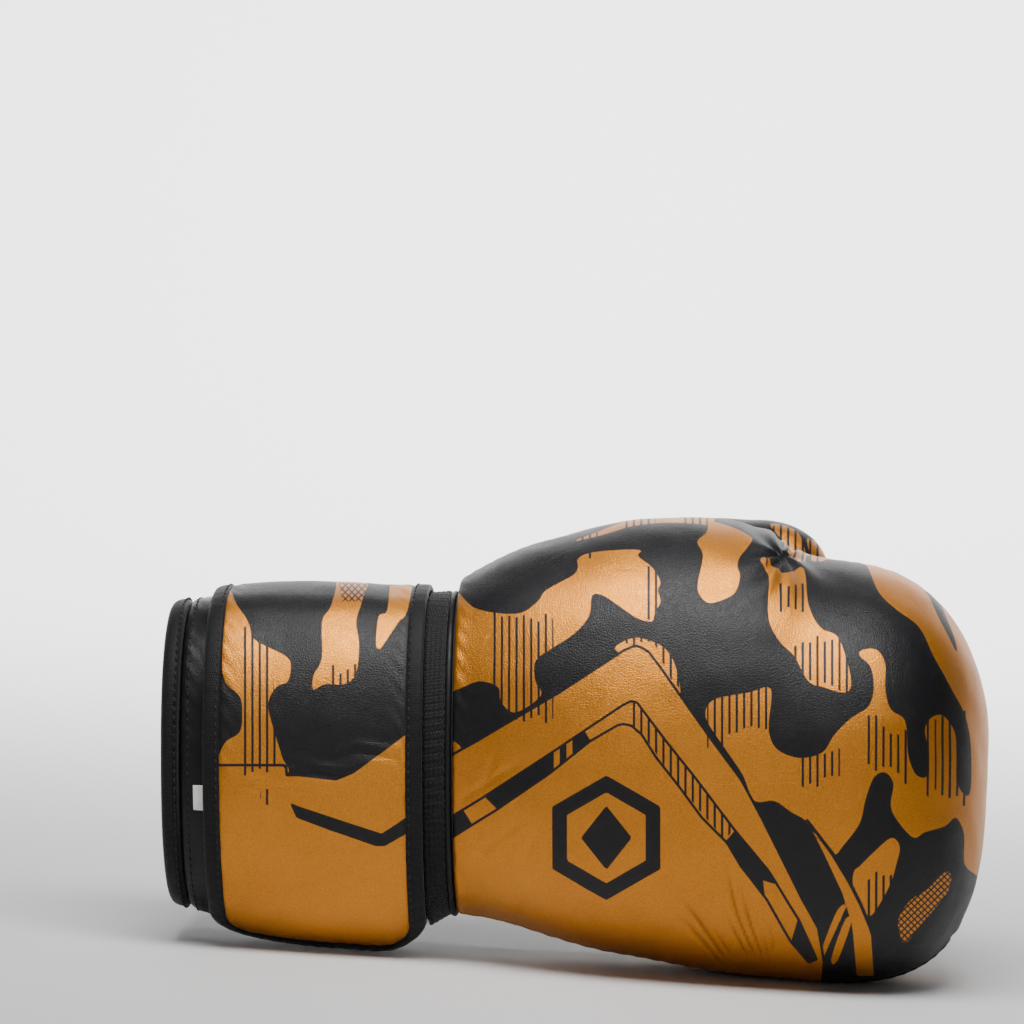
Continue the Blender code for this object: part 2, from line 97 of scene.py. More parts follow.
CUFF_KEYS = {
    "x": (-146, -138, -128, -112, -100, -80, -62, -52, -44),
    "mid": (65, 65.5, 66, 66.5, 67, 67.5, 68, 69, 70),
    "up": (52, 53, 54.5, 57, 57.5, 58, 57.5, 57, 57),
    "down": (52, 54, 57, 60.8, 62.8, 64.0, 63.6, 60, 56),
    "back": (37, 38, 39, 40, 40, 40, 39.5, 39.5, 41),
    "palm": (36, 37, 38, 39, 39, 39, 38.5, 38.5, 39),
}
HAND_KEYS = {
    "x": (-48, -36, -22, -6, 12, 30, 48, 64, 76, 85),
    "mid": (70, 71, 72, 72, 72, 72, 72, 72, 72, 72),
    "up": (56.5, 63.5, 71, 77.5, 83.5, 86, 86.5, 83, 76, 74.5),
    "down": (56, 57, 60, 63.5, 67, 69, 71.2, 72.5, 73.0, 73.3),
    "back": (41, 45, 51, 57, 61, 63, 64, 64, 63.5, 63),
    "palm": (39, 39, 39, 39, 40, 43, 52, 60.5, 63.5, 64.1),
    "hollow": (0.0, 0.2, 0.36, 0.42, 0.46, 0.5, 0.52, 0.55, 0.56, 0.5),
}
CAVITY_KEYS = {
    "x": (-48, -25, 0, 30, 50, 62),
    "mid": (70, 72, 73, 74, 74, 74),
    "up": (47, 45, 43, 42, 41, 40),
    "down": (46, 45, 44, 43, 42, 41),
    "back": (31, 28, 27, 28, 29, 29),
    "palm": (29, 26, 24, 23, 23, 23),
    "hollow": (0.0, 0.2, 0.36, 0.4, 0.38, 0.34),
}
THUMB_KEYS = {
    "x": (-36, -14, 5, 25, 45, 58, 87),
    "side": (34.5, 38, 40, 41, 40.5, 39.5, 37),
    "mid": (104, 112.5, 119.5, 125.5, 128.5, 130, 132.5),
    "tall": (12, 18, 24, 27.5, 28, 26.5, 26),
    "wide": (11, 16, 20, 22, 22, 20.5, 20),
}


# ---- The glove's surfaces, the same as the solid model's ----

def smooth(keys, field, x):
    """Cubic curve through one row of section keys."""
    xs = np.array(keys["x"], float)
    ys = np.array(keys[field], float)
    slope = np.gradient(ys, xs)
    x = np.clip(x, xs[0], xs[-1])
    i = np.clip(np.searchsorted(xs, x) - 1, 0, len(xs) - 2)
    h = xs[i + 1] - xs[i]
    t = (x - xs[i]) / h
    a = (1 + 2 * t) * (1 - t) ** 2 * ys[i] + t * (1 - t) ** 2 * h * slope[i]
    b = t * t * (3 - 2 * t) * ys[i + 1] + t * t * (t - 1) * h * slope[i + 1]
    return a + b


def ease(t):
    t = np.clip(t, 0, 1)
    return t * t * (3 - 2 * t)


def ring_point(angle, up, down, back, palm, hollow):
    turn = np.radians(angle)
    c = np.cos(turn)
    s = np.sin(turn)
    tall = np.where(c > 0, up, down)
    wide = np.where(s > 0, back, palm)
    reach = (np.abs(c / tall) ** 2.3 + np.abs(s / wide) ** 2.3) ** (-1 / 2.3)
    dip = ease((angle % 360 - 276) / 26) * ease((359 - angle % 360) / 30)
    reach = reach * (1 - hollow * dip)
    return -s * reach, c * reach


def closing(t, power):
    return np.maximum(1 - np.clip(t, 0, 1) ** power, 0) ** (1 / power)


def hand_station(u, start, close, tip):
    t = np.sin(np.clip((u - CLOSE_U) / (1 - CLOSE_U), 0, 1) * np.pi / 2)
    x = start + (close - start) * np.minimum(u / CLOSE_U, 1)
    return x, np.where(u > CLOSE_U, close + (tip - close) * t, x), t


def lean(z):
    return LEAN * (z - LEAN_Z)


def wrist_share(u):
    return ease(1 - u / 0.35)


def hand_outside(u, v):
    x, along, t = hand_station(u, HAND_X, CLOSE_X, TIP_X)
    up = smooth(HAND_KEYS, "up", x) * closing(t, 2.4)
    down = smooth(HAND_KEYS, "down", x) * closing(t, 3.2)
    back = smooth(HAND_KEYS, "back", x) * closing(t, 2.3)
    palm = smooth(HAND_KEYS, "palm", x) * closing(t, 2.3)
    hollow = smooth(HAND_KEYS, "hollow", x) * np.maximum(1 - t / 0.4, 0) ** 1.5
    y, z = ring_point(v, up + 1e-4, down + 1e-4, back + 1e-4, palm + 1e-4, hollow)
    z = np.maximum(z + smooth(HAND_KEYS, "mid", x), 0)
    return along - lean(z) * wrist_share(u), y, z


def hand_inside(u, v):
    x, along, t = hand_station(u, HAND_X, CAVITY_CLOSE_X, CAVITY_TIP_X)
    shrink = closing(t, 2.4)
    sides = [smooth(CAVITY_KEYS, side, x) * shrink + 1e-4 for side in ("up", "down", "back", "palm")]
    y, z = ring_point(v, *sides, smooth(CAVITY_KEYS, "hollow", x))
    z = z + smooth(CAVITY_KEYS, "mid", x)
    return along - lean(z) * wrist_share(u), y, z


def cuff_section(u, v, wall):
    sides = [smooth(CUFF_KEYS, side, u) - wall for side in ("up", "down", "back", "palm")]
    y, z = ring_point(v, *sides, 0.0)
    z = z + smooth(CUFF_KEYS, "mid", u)
    return u - lean(z), y, z


def cuff_outside(u, v):
    return cuff_section(u, v, 0.0)


def cuff_inside(u, v):
    return cuff_section(u, v, CUFF_WALL)


def thumb_surface(u, v, shrink):
    root = np.cos(np.clip(u / ROOT_U, 0, 1) * np.pi / 2)
    end = np.sin(np.clip((u - CLOSE_U) / (1 - CLOSE_U), 0, 1) * np.pi / 2)
    middle = np.clip((u - ROOT_U) / (CLOSE_U - ROOT_U), 0, 1)
    along = THUMB_X[1] + (THUMB_X[2] - THUMB_X[1]) * middle
    along = along - (THUMB_X[1] - THUMB_X[0] - shrink) * root + (THUMB_X[3] - THUMB_X[2] - shrink) * end
    x = np.clip(along, THUMB_X[1], THUMB_X[2])
    factor = closing(root, 2.2) * closing(end, 2.3)
    tall = (smooth(THUMB_KEYS, "tall", x) - shrink) * factor + 1e-4
    wide = (smooth(THUMB_KEYS, "wide", x) - shrink) * factor + 1e-4
    y, z = ring_point(v, tall, tall, wide, wide, 0.0)
    return along, y + smooth(THUMB_KEYS, "side", along), z + smooth(THUMB_KEYS, "mid", along)


def thumb_outside(u, v):
    return thumb_surface(u, v, 0.0)


def thumb_inside(u, v):
    return thumb_surface(u, v, THUMB_WALL)


def stack(surface, u, v):
    return np.stack(np.broadcast_arrays(*surface(np.asarray(u, float), np.asarray(v, float))), -1)


def off_cuff(x, v, height):
    """Point a height in mm above the cuff's outside."""
    a = stack(cuff_outside, x, v)
    b = stack(cuff_inside, x, v)
    out = (a - b) / np.linalg.norm(a - b, axis=-1, keepdims=True)
    return a + out * np.asarray(height, float)[..., None]


def run_along(path):
    """mm along a path at each of its points."""
    return np.concatenate([[0], np.cumsum(np.linalg.norm(np.diff(path, axis=0), axis=1))])


ARC_ANGLES = np.linspace(-140, 200, 681)
ARC_RING = stack(cuff_outside, np.full(ARC_ANGLES.shape, -92.0), ARC_ANGLES)
ARCS = run_along(ARC_RING[:, 1:])
ARCS = ARCS - np.interp(0, ARC_ANGLES, ARCS)


def arc_at(angle):
    return float(np.interp(angle, ARC_ANGLES, ARCS))


def on_strap(x, arc, height):
    """Point on the strap: the flap rises over the hook-and-loop patches, away from the fold."""
    v = np.interp(arc, ARCS, ARC_ANGLES)
    return off_cuff(x, v, height + (LOOP_RISE - FOLD_RISE) * ease((v - 6) / 24))


# ---- Building meshes ----

def add_mesh(name, points, faces, material, slot):
    mesh = bpy.data.meshes.new(name)
    places = np.asarray(points, float).reshape(-1, 3) * MM
    mesh.from_pydata(places.tolist(), [], [list(map(int, face)) for face in faces])
    mesh.materials.append(material)
    mesh.shade_smooth()
    thing = bpy.data.objects.new(name, mesh)
    bpy.context.scene.collection.objects.link(thing)
    return thing


def grid_faces(rows, columns, loop=False, keep=None, flip=False):
    i = np.arange(rows - 1)[:, None]
    j = np.arange(columns if loop else columns - 1)[None, :]
    k = (j + 1) % columns
    corners = [i * columns + j, i * columns + k, (i + 1) * columns + k, (i + 1) * columns + j]
    faces = np.stack(np.broadcast_arrays(*corners), -1)
    if flip:
        faces = faces[..., ::-1]
    return faces.reshape(-1, 4) if keep is None else faces[keep]


def even(surface, low, high, step, v):
    """Stations from low to high, evenly spaced along the surface at one angle."""
    u = np.linspace(low, high, 400)
    path = stack(surface, u, np.full(u.shape, v))
    length = run_along(path)
    count = max(int(length[-1] / step) + 1, 3)
    return np.interp(np.linspace(0, length[-1], count), length, u)


def even_angles(surface, u, low, high, step, loop=False):
    """Angles from low to high, evenly spaced round the surface at one station."""
    v = np.linspace(low, high, 720)
    path = stack(surface, np.full(v.shape, u), v)
    length = run_along(path)
    count = max(int(length[-1] / step) + 1, 3)
    return np.interp(np.linspace(0, length[-1], count + 1 if loop else count)[: count], length, v)


def normals_of(mesh):
    normals = np.empty(len(mesh.vertices) * 3, np.float32)
    mesh.vertex_normals.foreach_get("vector", normals)
    return normals.reshape(-1, 3).astype(float)


def places_of(mesh):
    places = np.empty(len(mesh.vertices) * 3, np.float32)
    mesh.vertices.foreach_get("co", places)
    return places.reshape(-1, 3).astype(float) / MM


def move_points(mesh, places):
    mesh.vertices.foreach_set("co", (places * MM).astype(np.float32).ravel())


def edge_distances(mesh, places, reach):
    """mm from each vertex to the nearest open edge, up to a reach."""
    uses = np.zeros(len(mesh.edges), int)
    loops = np.empty(len(mesh.loops), np.int32)
    mesh.loops.foreach_get("edge_index", loops)
    np.add.at(uses, loops, 1)
    ends = np.empty(len(mesh.edges) * 2, np.int32)
    mesh.edges.foreach_get("vertices", ends)
    rim = np.unique(ends.reshape(-1, 2)[uses == 1])
    tree = kdtree.KDTree(len(rim))
    for n, k in enumerate(rim):
        tree.insert(places[k], n)
    tree.balance()
    if not len(rim):
        return np.full(len(places), reach)
    found = np.array([tree.find(place)[2] for place in places])
    return np.minimum(found, reach)


def ripple(places, scale, seed):
    """Smooth bumps between about -1 and 1, of a size in mm, different for each seed."""
    q = places / scale
    total = 0
    for n in range(3):
        a = 1.7 * seed + 2.1 * n
        x = q[:, 0] * np.cos(a) + q[:, 2] * np.sin(a) + 0.5 * q[:, 1]
        y = q[:, 1] * np.cos(a + 1) - q[:, 0] * np.sin(a) + 0.4 * q[:, 2]
        z = q[:, 2] * np.cos(a) + q[:, 1] * np.sin(a + 1)
        total = total + np.sin(x * (1 + 0.4 * n) + a) * np.sin(y + 2 * a)
        total = total + 0.6 * np.sin(z * (1.3 + 0.3 * n) + 3 * a)
    return total / 3.2


# ---- The print, in its own flat frame: mm from the wrist seam and mm above the strap's lowest edge ----

AIM = np.array([-26.8, 0.0, 156.7])
EYE_AZIMUTH = np.radians(3.0)
EYE_HEIGHT = np.radians(3.3)
EYE_ROLL = 0.0551
EYE_DISTANCE = 1600.0
PRINT_ORIGIN = (21.8, 153.5)

EYE_BACK = np.array([
    np.sin(EYE_AZIMUTH) * np.cos(EYE_HEIGHT),
    -np.cos(EYE_AZIMUTH) * np.cos(EYE_HEIGHT),
    np.sin(EYE_HEIGHT),
])
LEVEL = np.array([np.cos(EYE_AZIMUTH), np.sin(EYE_AZIMUTH), 0.0])
UPRIGHT = np.cross(EYE_BACK, LEVEL)
EYE_RIGHT = LEVEL * np.cos(EYE_ROLL) + UPRIGHT * np.sin(EYE_ROLL)
EYE_UP = -LEVEL * np.sin(EYE_ROLL) + UPRIGHT * np.cos(EYE_ROLL)

HAND_BLOBS = (
    ((0, 125), (8, 120), (16, 118), (25, 118), (31, 122), (34, 126), (43, 131), (45, 134), (45, 137),
     (49, 139), (58, 140), (67, 140), (66, 138), (71, 134), (74, 129), (73, 126), (74, 122), (72, 118),
     (71, 115), (66, 116), (60, 120), (54, 124), (50, 124), (49, 117), (44, 111), (35, 105), (30, 101),
     (30, 94), (32, 89), (23, 83), (18, 87), (17, 92), (10, 94), (2, 91), (-1, 93)),
    ((92, 150), (99, 148), (105, 145), (106, 143), (102, 138), (101, 134), (102, 131), (100, 125),
     (94, 122), (90, 122), (87, 127), (89, 138), (87, 143), (90, 146)),
    ((58, 105), (61, 108), (64, 109), (68, 109), (75, 106), (79, 100), (81, 90), (78, 91), (72, 97),
     (67, 101)),
    ((109, 136), (111, 138), (114, 134), (119, 132), (123, 134), (125, 131), (126, 121), (130, 113),
     (136, 110), (139, 103), (141, 94), (139, 90), (131, 92), (126, 94), (121, 103), (116, 108),
     (112, 116), (112, 131)),
    ((90, 81), (92, 87), (99, 89), (105, 90), (112, 92), (113, 88), (112, 77), (115, 70), (123, 67),
     (131, 69), (135, 75), (141, 81), (147, 85), (149, 91), (148, 99), (144, 103), (145, 105), (150, 105),
     (153, 100), (153, 91), (155, 84), (160, 80), (161, 68), (164, 61), (168, 61), (168, 70), (167, 77),
     (169, 81), (173, 82), (177, 77), (178, 70), (178, 59), (181, 54), (183, 56), (183, 71), (181, 82),
     (175, 94), (170, 103), (165, 113), (157, 119), (151, 125), (147, 134), (145, 139), (158, 145),
     (194, 122), (197, 31), (182, 28), (181, 40), (178, 46), (174, 43), (167, 41), (163, 39), (158, 44),
     (155, 50), (156, 58), (153, 62), (149, 60), (146, 52), (144, 44), (138, 36), (135, 33), (130, 38),
     (125, 45), (120, 48), (114, 52), (107, 52), (103, 61), (97, 70)),
    ((144, 29), (149, 34), (155, 39), (158, 36), (157, 30), (154, 21), (147, 11), (142, 21), (142, 27)),
)
NET_BLOB = ((174, 27), (176, 25), (174, 19), (165, 8), (160, 2), (158, 6), (158, 11), (162, 17), (168, 21))
THUMB_PRINT = (
    ((43, 143), (53, 147), (64, 151), (76, 156), (92, 156), (92, 147.5), (90, 149), (75, 149.5),
     (63, 148), (53, 145.2), (47.5, 144)),
    ((112.5, 149), (118, 148.5), (122.5, 146), (124.5, 141), (125, 136.5), (121.5, 136), (119.5, 140),
     (117, 143.5)),
    ((125.5, 144), (128.5, 143), (131.5, 139), (132, 136.5), (127.5, 136.5), (126.5, 139)),
    ((0.7, 73), (4, 70.5), (1.4, 68)),
)
END_SLIVER = ((163, 131), (168, 124), (174, 112), (178, 104), (177, 110), (173, 120), (168, 128))
CHEVRON_FIELD = (
    (-3.5, 65), (1.5, 68), (10.5, 73), (38.5, 89.5), (61.5, 104.5), (65, 106), (67, 105.5), (69.5, 104),
    (74, 98), (81, 88), (92, 72.5), (102, 59), (109, 46), (116, 32), (123, 18), (129, 7), (131, -5),
    (129.5, -22), (-7, -22)
)
STRIPE = (
    (-3.5, 44.5), (10.5, 53), (35, 69), (60.5, 86), (63.5, 87.5), (66, 87), (76.5, 73), (88, 58.5),
    (100.5, 42), (112.5, 27.5), (123, 10.5), (129.5, -4), (126, -5.5), (119.5, 2), (111, 17), (102, 28.5),
    (97, 37), (88, 46), (81, 55.5), (72, 67), (67, 75), (63.5, 78), (61, 78.5), (59, 78), (49.5, 72.5),
    (35, 61), (16, 48), (3, 40), (-3.5, 35.5)
)
STRIPE_PIECES = (
    ((4, 50), (10.5, 55), (17, 48.5), (9, 42)),
    ((46.5, 78), (57, 90), (68, 92), (102, 46), (100.5, 42), (97.5, 38.5), (95, 36), (70, 66), (52, 69)),
    ((110, 24), (116.5, 22), (123, 13), (119.5, 1), (112, 10)),
    ((36.5, 72), (38.5, 72), (38.5, 61), (36.5, 61)),
    ((41, 75), (43, 76), (43, 65), (41, 64)),
)
STRIPE_RUNGS = ((63.5, 87), (66, 86.5), (88, 58), (100, 42), (97, 38), (81, 56), (67, 76), (64, 78.5))
LOW_BAND = (
    (125.5, 45), (131, 37.5), (138, 27), (145, 14), (148, 4.5), (149, -9.5), (143, -9.5), (141.5, 8),
    (138, 19.5), (131, 34.5)
)
LOW_LINE = ((125.7, 45.8), (134.9, 34), (140.9, 24), (144.9, 16), (150.2, 3), (151.6, -6), (150.4, -6),
            (149.0, 2.8), (143.8, 15.3), (139.8, 23.2), (133.9, 33), (125, 45))
LOW_BITS = (
    ((130.4, -1.5), (135.4, 12), (138.2, 15.5), (138.6, 13.5), (132.4, -0.7), (131.2, -3.5)),
    ((134, -3.8), (138.6, 9.5), (140.6, 11), (140.6, 7.5), (136.2, -4.2)),
)
BADGE = (55.0, 39.0)
BADGE_SIZE = 19.0
HAND_HATCHED = (
    ((15, 117), (37, 117), (37, 80), (15, 80)),
    ((67, 136), (75, 136), (75, 114), (67, 114)),
    ((56, 113), (82, 113), (83, 88), (79, 93), (70, 106.5), (56, 106.5)),
    ((113, 129), (126, 129), (126, 118), (113, 118)),
    ((119, 107), (142, 112), (142, 88), (119, 96)),
    ((90, 93), (113, 93), (113, 79), (90, 70)),
    ((123, 68), (138, 72), (138, 60), (123, 56)),
    ((144, 84), (163, 74), (163, 58), (144, 66)),
    ((168, 83), (184, 83), (184, 50), (168, 54)),
    ((146, 24), (158, 30), (158, 10), (146, 10)),
    ((43, 138), (54.5, 138), (54.5, 158), (43, 158)),
    ((58.5, 142), (74, 142), (74, 158), (58.5, 158)),
    ((82, 147), (91, 147), (91, 158), (82, 158)),
    ((112, 150), (133, 150), (133, 135), (112, 135)),
)
STRAP_BLOBS = (
    ((-78, 125), (-75, 121), (-71, 115), (-69, 109), (-64, 106), (-58, 103), (-56, 100), (-57, 94),
     (-61, 92), (-64, 86), (-62, 77), (-59, 67), (-58, 61), (-82, 56), (-80, 71), (-74, 76), (-73, 83),
     (-74, 89), (-80, 97)),
    ((-40, 127), (-39, 134), (-28, 134), (-31, 122), (-33, 115), (-32, 107), (-33, 97), (-37, 93),
     (-44, 93), (-48, 91), (-48, 96), (-45, 102), (-45, 115), (-42, 120)),
    ((-20, 134), (-13, 134), (-15, 119), (-18, 115), (-22, 109), (-25, 105), (-26, 108), (-25, 117),
     (-22, 119)),
)
STRAP_FIELD = ((-82, 60.5), (-53, 60.5), (-40, 59), (-34, 61.5), (-21, 71), (-8, 81), (-8, -3), (-82, -3))
STRAP_JOIN = ((-82, 64), (-58, 64), (-58, 57), (-82, 57))
STRAP_NET = ((-40, 134), (-28, 134), (-30, 122), (-38, 122))
STRAP_CHEVRON = (
    (-56.5, 51.5), (-53, 50), (-35, 44), (-24, 40.5), (-8, 51), (-8, 44.5), (-23, 36), (-26, 36),
    (-42, 41.5), (-54, 46)
)
STRAP_HATCHED = (
    ((-75, 112), (-61, 112), (-58, 62), (-75, 62)),
    ((-68, 57), (-60, 55), (-60, 49.5), (-68, 51.5)),
    ((-42, 99), (-31, 99), (-31, 90), (-42, 90)),
)
NOT_PRINTED = -20.0
HATCH_PITCH = 2.58
NET_PITCH = 2.3
FAN_CENTRE = (114.0, -22.0)
PINCH = (117.5, 139.0)


def on_print(places):
    """Where points of the glove lie on the print, which is thrown onto its back from the camera's place."""
    reach = places - AIM
    scale = EYE_DISTANCE / (EYE_DISTANCE - reach @ EYE_BACK)
    across = PRINT_ORIGIN[0] + reach @ EYE_RIGHT * scale
    up = PRINT_ORIGIN[1] + reach @ EYE_UP * scale
    return np.stack([across, up], -1)


def rounded(outline, parts=4):
    """A closed outline with smooth curves through its points."""
    p = np.array(outline, float)
    before = np.roll(p, 1, 0)
    after = np.roll(p, -1, 0)
    last = np.roll(p, -2, 0)
    curves = []
    for t in np.arange(parts) / parts:
        curves.append(0.5 * (2 * p + (after - before) * t + (2 * before - 5 * p + 4 * after - last) * t ** 2
                             + (3 * p - before - 3 * after + last) * t ** 3))
    return np.stack(curves, 1).reshape(-1, 2)


def inside_by(points, outline):
    """mm inside an outline, negative outside it."""
    shape = np.array(outline, float)
    found = np.full(len(points), NOT_PRINTED)
    near = ((points > shape.min(0) - 6) & (points < shape.max(0) + 6)).all(1)
    p = points[near]
    if not len(p):
        return found
    distance = np.full(len(p), 1e9)
    inside = np.zeros(len(p), bool)
    for a, b in zip(shape, np.roll(shape, -1, 0)):
        edge = b - a
        t = np.clip(((p - a) @ edge) / max(edge @ edge, 1e-9), 0, 1)
        distance = np.minimum(distance, np.linalg.norm(p - a - t[:, None] * edge, axis=1))
        crosses = (a[1] > p[:, 1]) != (b[1] > p[:, 1])
        if edge[1]:
            inside ^= crosses & (p[:, 0] < a[0] + (p[:, 1] - a[1]) * edge[0] / edge[1])
    found[near] = np.where(inside, distance, -distance)
    return found


def badge_by(points):
    """A plain badge of a hexagonal ring round a diamond."""
    q = points - np.array(BADGE)
    turns = np.radians([0, 60, 120])
    hexagon = np.max([np.abs(q[:, 0] * np.cos(t) + q[:, 1] * np.sin(t)) for t in turns], axis=0)
    ring = 2.6 - np.abs(hexagon - BADGE_SIZE + 2.6)
    diamond = 8.5 - (np.abs(q[:, 0]) * 0.95 + np.abs(q[:, 1]) * 0.75)
    return np.maximum(ring, diamond)


def free_camouflage(places):
    """Soft patches for the sides that the flat print doesn't reach."""
    return 9.0 * (ripple(places, 13.0, 3.0) + 0.35 * ripple(places, 7.0, 5.0) - 0.02)


def back_of_hand(points):
    blobs = (*HAND_BLOBS, *THUMB_PRINT, *LOW_BITS, NET_BLOB)
    gold = np.max([inside_by(points, rounded(blob)) for blob in blobs], axis=0)
    gold = np.maximum(gold, inside_by(points, LOW_BAND))
    gold = np.minimum(gold, -inside_by(points, rounded(END_SLIVER)))
    gold = np.minimum(gold, -inside_by(points, LOW_LINE))
    hatch = np.max([inside_by(points, area) for area in HAND_HATCHED], axis=0)
    return {
        "gold": gold,
        "field": np.minimum(inside_by(points, CHEVRON_FIELD), -badge_by(points)),
        "stripe": inside_by(points, STRIPE),
        "piece": np.max([inside_by(points, piece) for piece in STRIPE_PIECES], axis=0),
        "hatch": np.maximum(hatch, 8.0 * inside_by(points, STRIPE_RUNGS)),
        "net": inside_by(points, rounded(NET_BLOB)) + 1.0,
        # depth in the fan of creases, which the printed leather uses for painted shade
        "crease": fan_of_creases(points),
    }


def back_of_strap(points):
    nothing = np.full(len(points), NOT_PRINTED)
    return {
        "gold": np.max([inside_by(points, rounded(blob)) for blob in STRAP_BLOBS], axis=0),
        "field": np.maximum(inside_by(points, STRAP_FIELD), inside_by(points, STRAP_JOIN)),
        "stripe": inside_by(points, STRAP_CHEVRON),
        "piece": nothing,
        "hatch": np.max([inside_by(points, area) for area in STRAP_HATCHED], axis=0),
        "net": inside_by(points, STRAP_NET),
        "crease": np.zeros(len(points)),
    }


def add_print(thing, design, places, normals):
    """Stores the print on the mesh: how far in mm each point is inside the gold, the hatching and so on."""
    points = on_print(places)
    fields = design(points)
    facing = ease((normals @ EYE_BACK + 0.02) / 0.14)
    fields["gold"] = fields["gold"] * facing + free_camouflage(places) * (1 - facing)
    for name in ("field", "stripe", "piece", "net"):
        fields[name] = fields[name] + 1.5 * NOT_PRINTED * (1 - facing)
    fields["hatch"] = np.where(facing > 0.5, fields["hatch"], 6.0 * ripple(places, 11.0, 8.0) - 1.5)
    for name, values in fields.items():
        thing.data.attributes.new(name, "FLOAT", "POINT").data.foreach_set("value", values.astype(np.float32))
    flat = np.concatenate([points, np.zeros((len(points), 1))], 1).astype(np.float32)
    thing.data.attributes.new("print_at", "FLOAT_VECTOR", "POINT").data.foreach_set("vector", flat.ravel())


# ---- Materials ----

class Finish:
    """A Principled material whose nodes are added by short calls."""

    def __init__(self, name, **sockets):
        self.material = bpy.data.materials.new(name)
        self.material.use_nodes = True
        self.tree = self.material.node_tree
        self.shader = self.tree.nodes["Principled BSDF"]
        for key, value in sockets.items():
            self.shader.inputs[key.replace("_", " ")].default_value = value
        self.where = self.tree.nodes.new("ShaderNodeTexCoord").outputs["Object"]

    def set(self, socket, value):
        if isinstance(value, bpy.types.NodeSocket):
            self.tree.links.new(value, socket)
        else:
            socket.default_value = value

    def math(self, operation, *values, clamp=False):
        made = self.tree.nodes.new("ShaderNodeMath")
        made.operation = operation
        made.use_clamp = clamp
        for socket, value in zip(made.inputs, values):
            self.set(socket, value)
        return made.outputs[0]

    def noise(self, scale, detail=3.0, roughness=0.55, where=None, distortion=0.0):
        made = self.tree.nodes.new("ShaderNodeTexNoise")
        self.set(made.inputs["Vector"], where or self.where)
        made.inputs["Scale"].default_value = scale
        made.inputs["Detail"].default_value = detail
        made.inputs["Roughness"].default_value = roughness
        made.inputs["Distortion"].default_value = distortion
        return made.outputs["Fac"]

    def cells(self, scale, feature="F1"):
        made = self.tree.nodes.new("ShaderNodeTexVoronoi")
        made.feature = feature
        self.set(made.inputs["Vector"], self.where)
        made.inputs["Scale"].default_value = scale
        return made.outputs["Distance"]

    def stretched(self, x, y, z, turn=(0, 0, 0)):
        made = self.tree.nodes.new("ShaderNodeMapping")
        self.set(made.inputs["Vector"], self.where)
        made.inputs["Scale"].default_value = (x, y, z)
        made.inputs["Rotation"].default_value = turn
        return made.outputs["Vector"]

    def spread(self, value, low, high, to_low=0.0, to_high=1.0):
        made = self.tree.nodes.new("ShaderNodeMapRange")
        self.set(made.inputs["Value"], value)
        for key, number in (("From Min", low), ("From Max", high), ("To Min", to_low), ("To Max", to_high)):
            made.inputs[key].default_value = number
        return made.outputs["Result"]

    def mix(self, factor, one, two):
        made = self.tree.nodes.new("ShaderNodeMix")
        made.data_type = "RGBA"
        self.set(made.inputs[0], factor)
        self.set(made.inputs[6], one)
        self.set(made.inputs[7], two)
        return made.outputs[2]

    def stored(self, name):
        made = self.tree.nodes.new("ShaderNodeAttribute")
        made.attribute_name = name
        return made

    def bump(self, height, distance, strength=1.0, under=None):
        made = self.tree.nodes.new("ShaderNodeBump")
        made.inputs["Strength"].default_value = strength
        made.inputs["Distance"].default_value = distance
        self.set(made.inputs["Height"], height)
        if under is not None:
            self.set(made.inputs["Normal"], under)
        return made.outputs["Normal"]

    def link(self, socket, value):
        self.set(self.shader.inputs[socket], value)

    def leather_bump(self, grain=0.00006, creases=0.00035):
        """Pebbled grain over fine creases and soft handling wrinkles."""
        fold = self.noise(38, 3.0, 0.5, self.stretched(1.5, 1.0, 0.6), 0.5)
        fold = self.math("ABSOLUTE", self.math("SUBTRACT", fold, 0.5))
        fold = self.spread(fold, 0.0, 0.05)
        pebble = self.cells(1100.0, "DISTANCE_TO_EDGE")
        pebble = self.spread(pebble, 0.0, 0.25)
        fine = self.noise(2600.0, 2.0)
        rough = self.bump(self.math("ADD", pebble, self.math("MULTIPLY", fine, 0.6)), grain)
        return self.bump(fold, creases, 0.1, rough)


BLACK_LEATHER = (0.0042, 0.0038, 0.0046, 1)


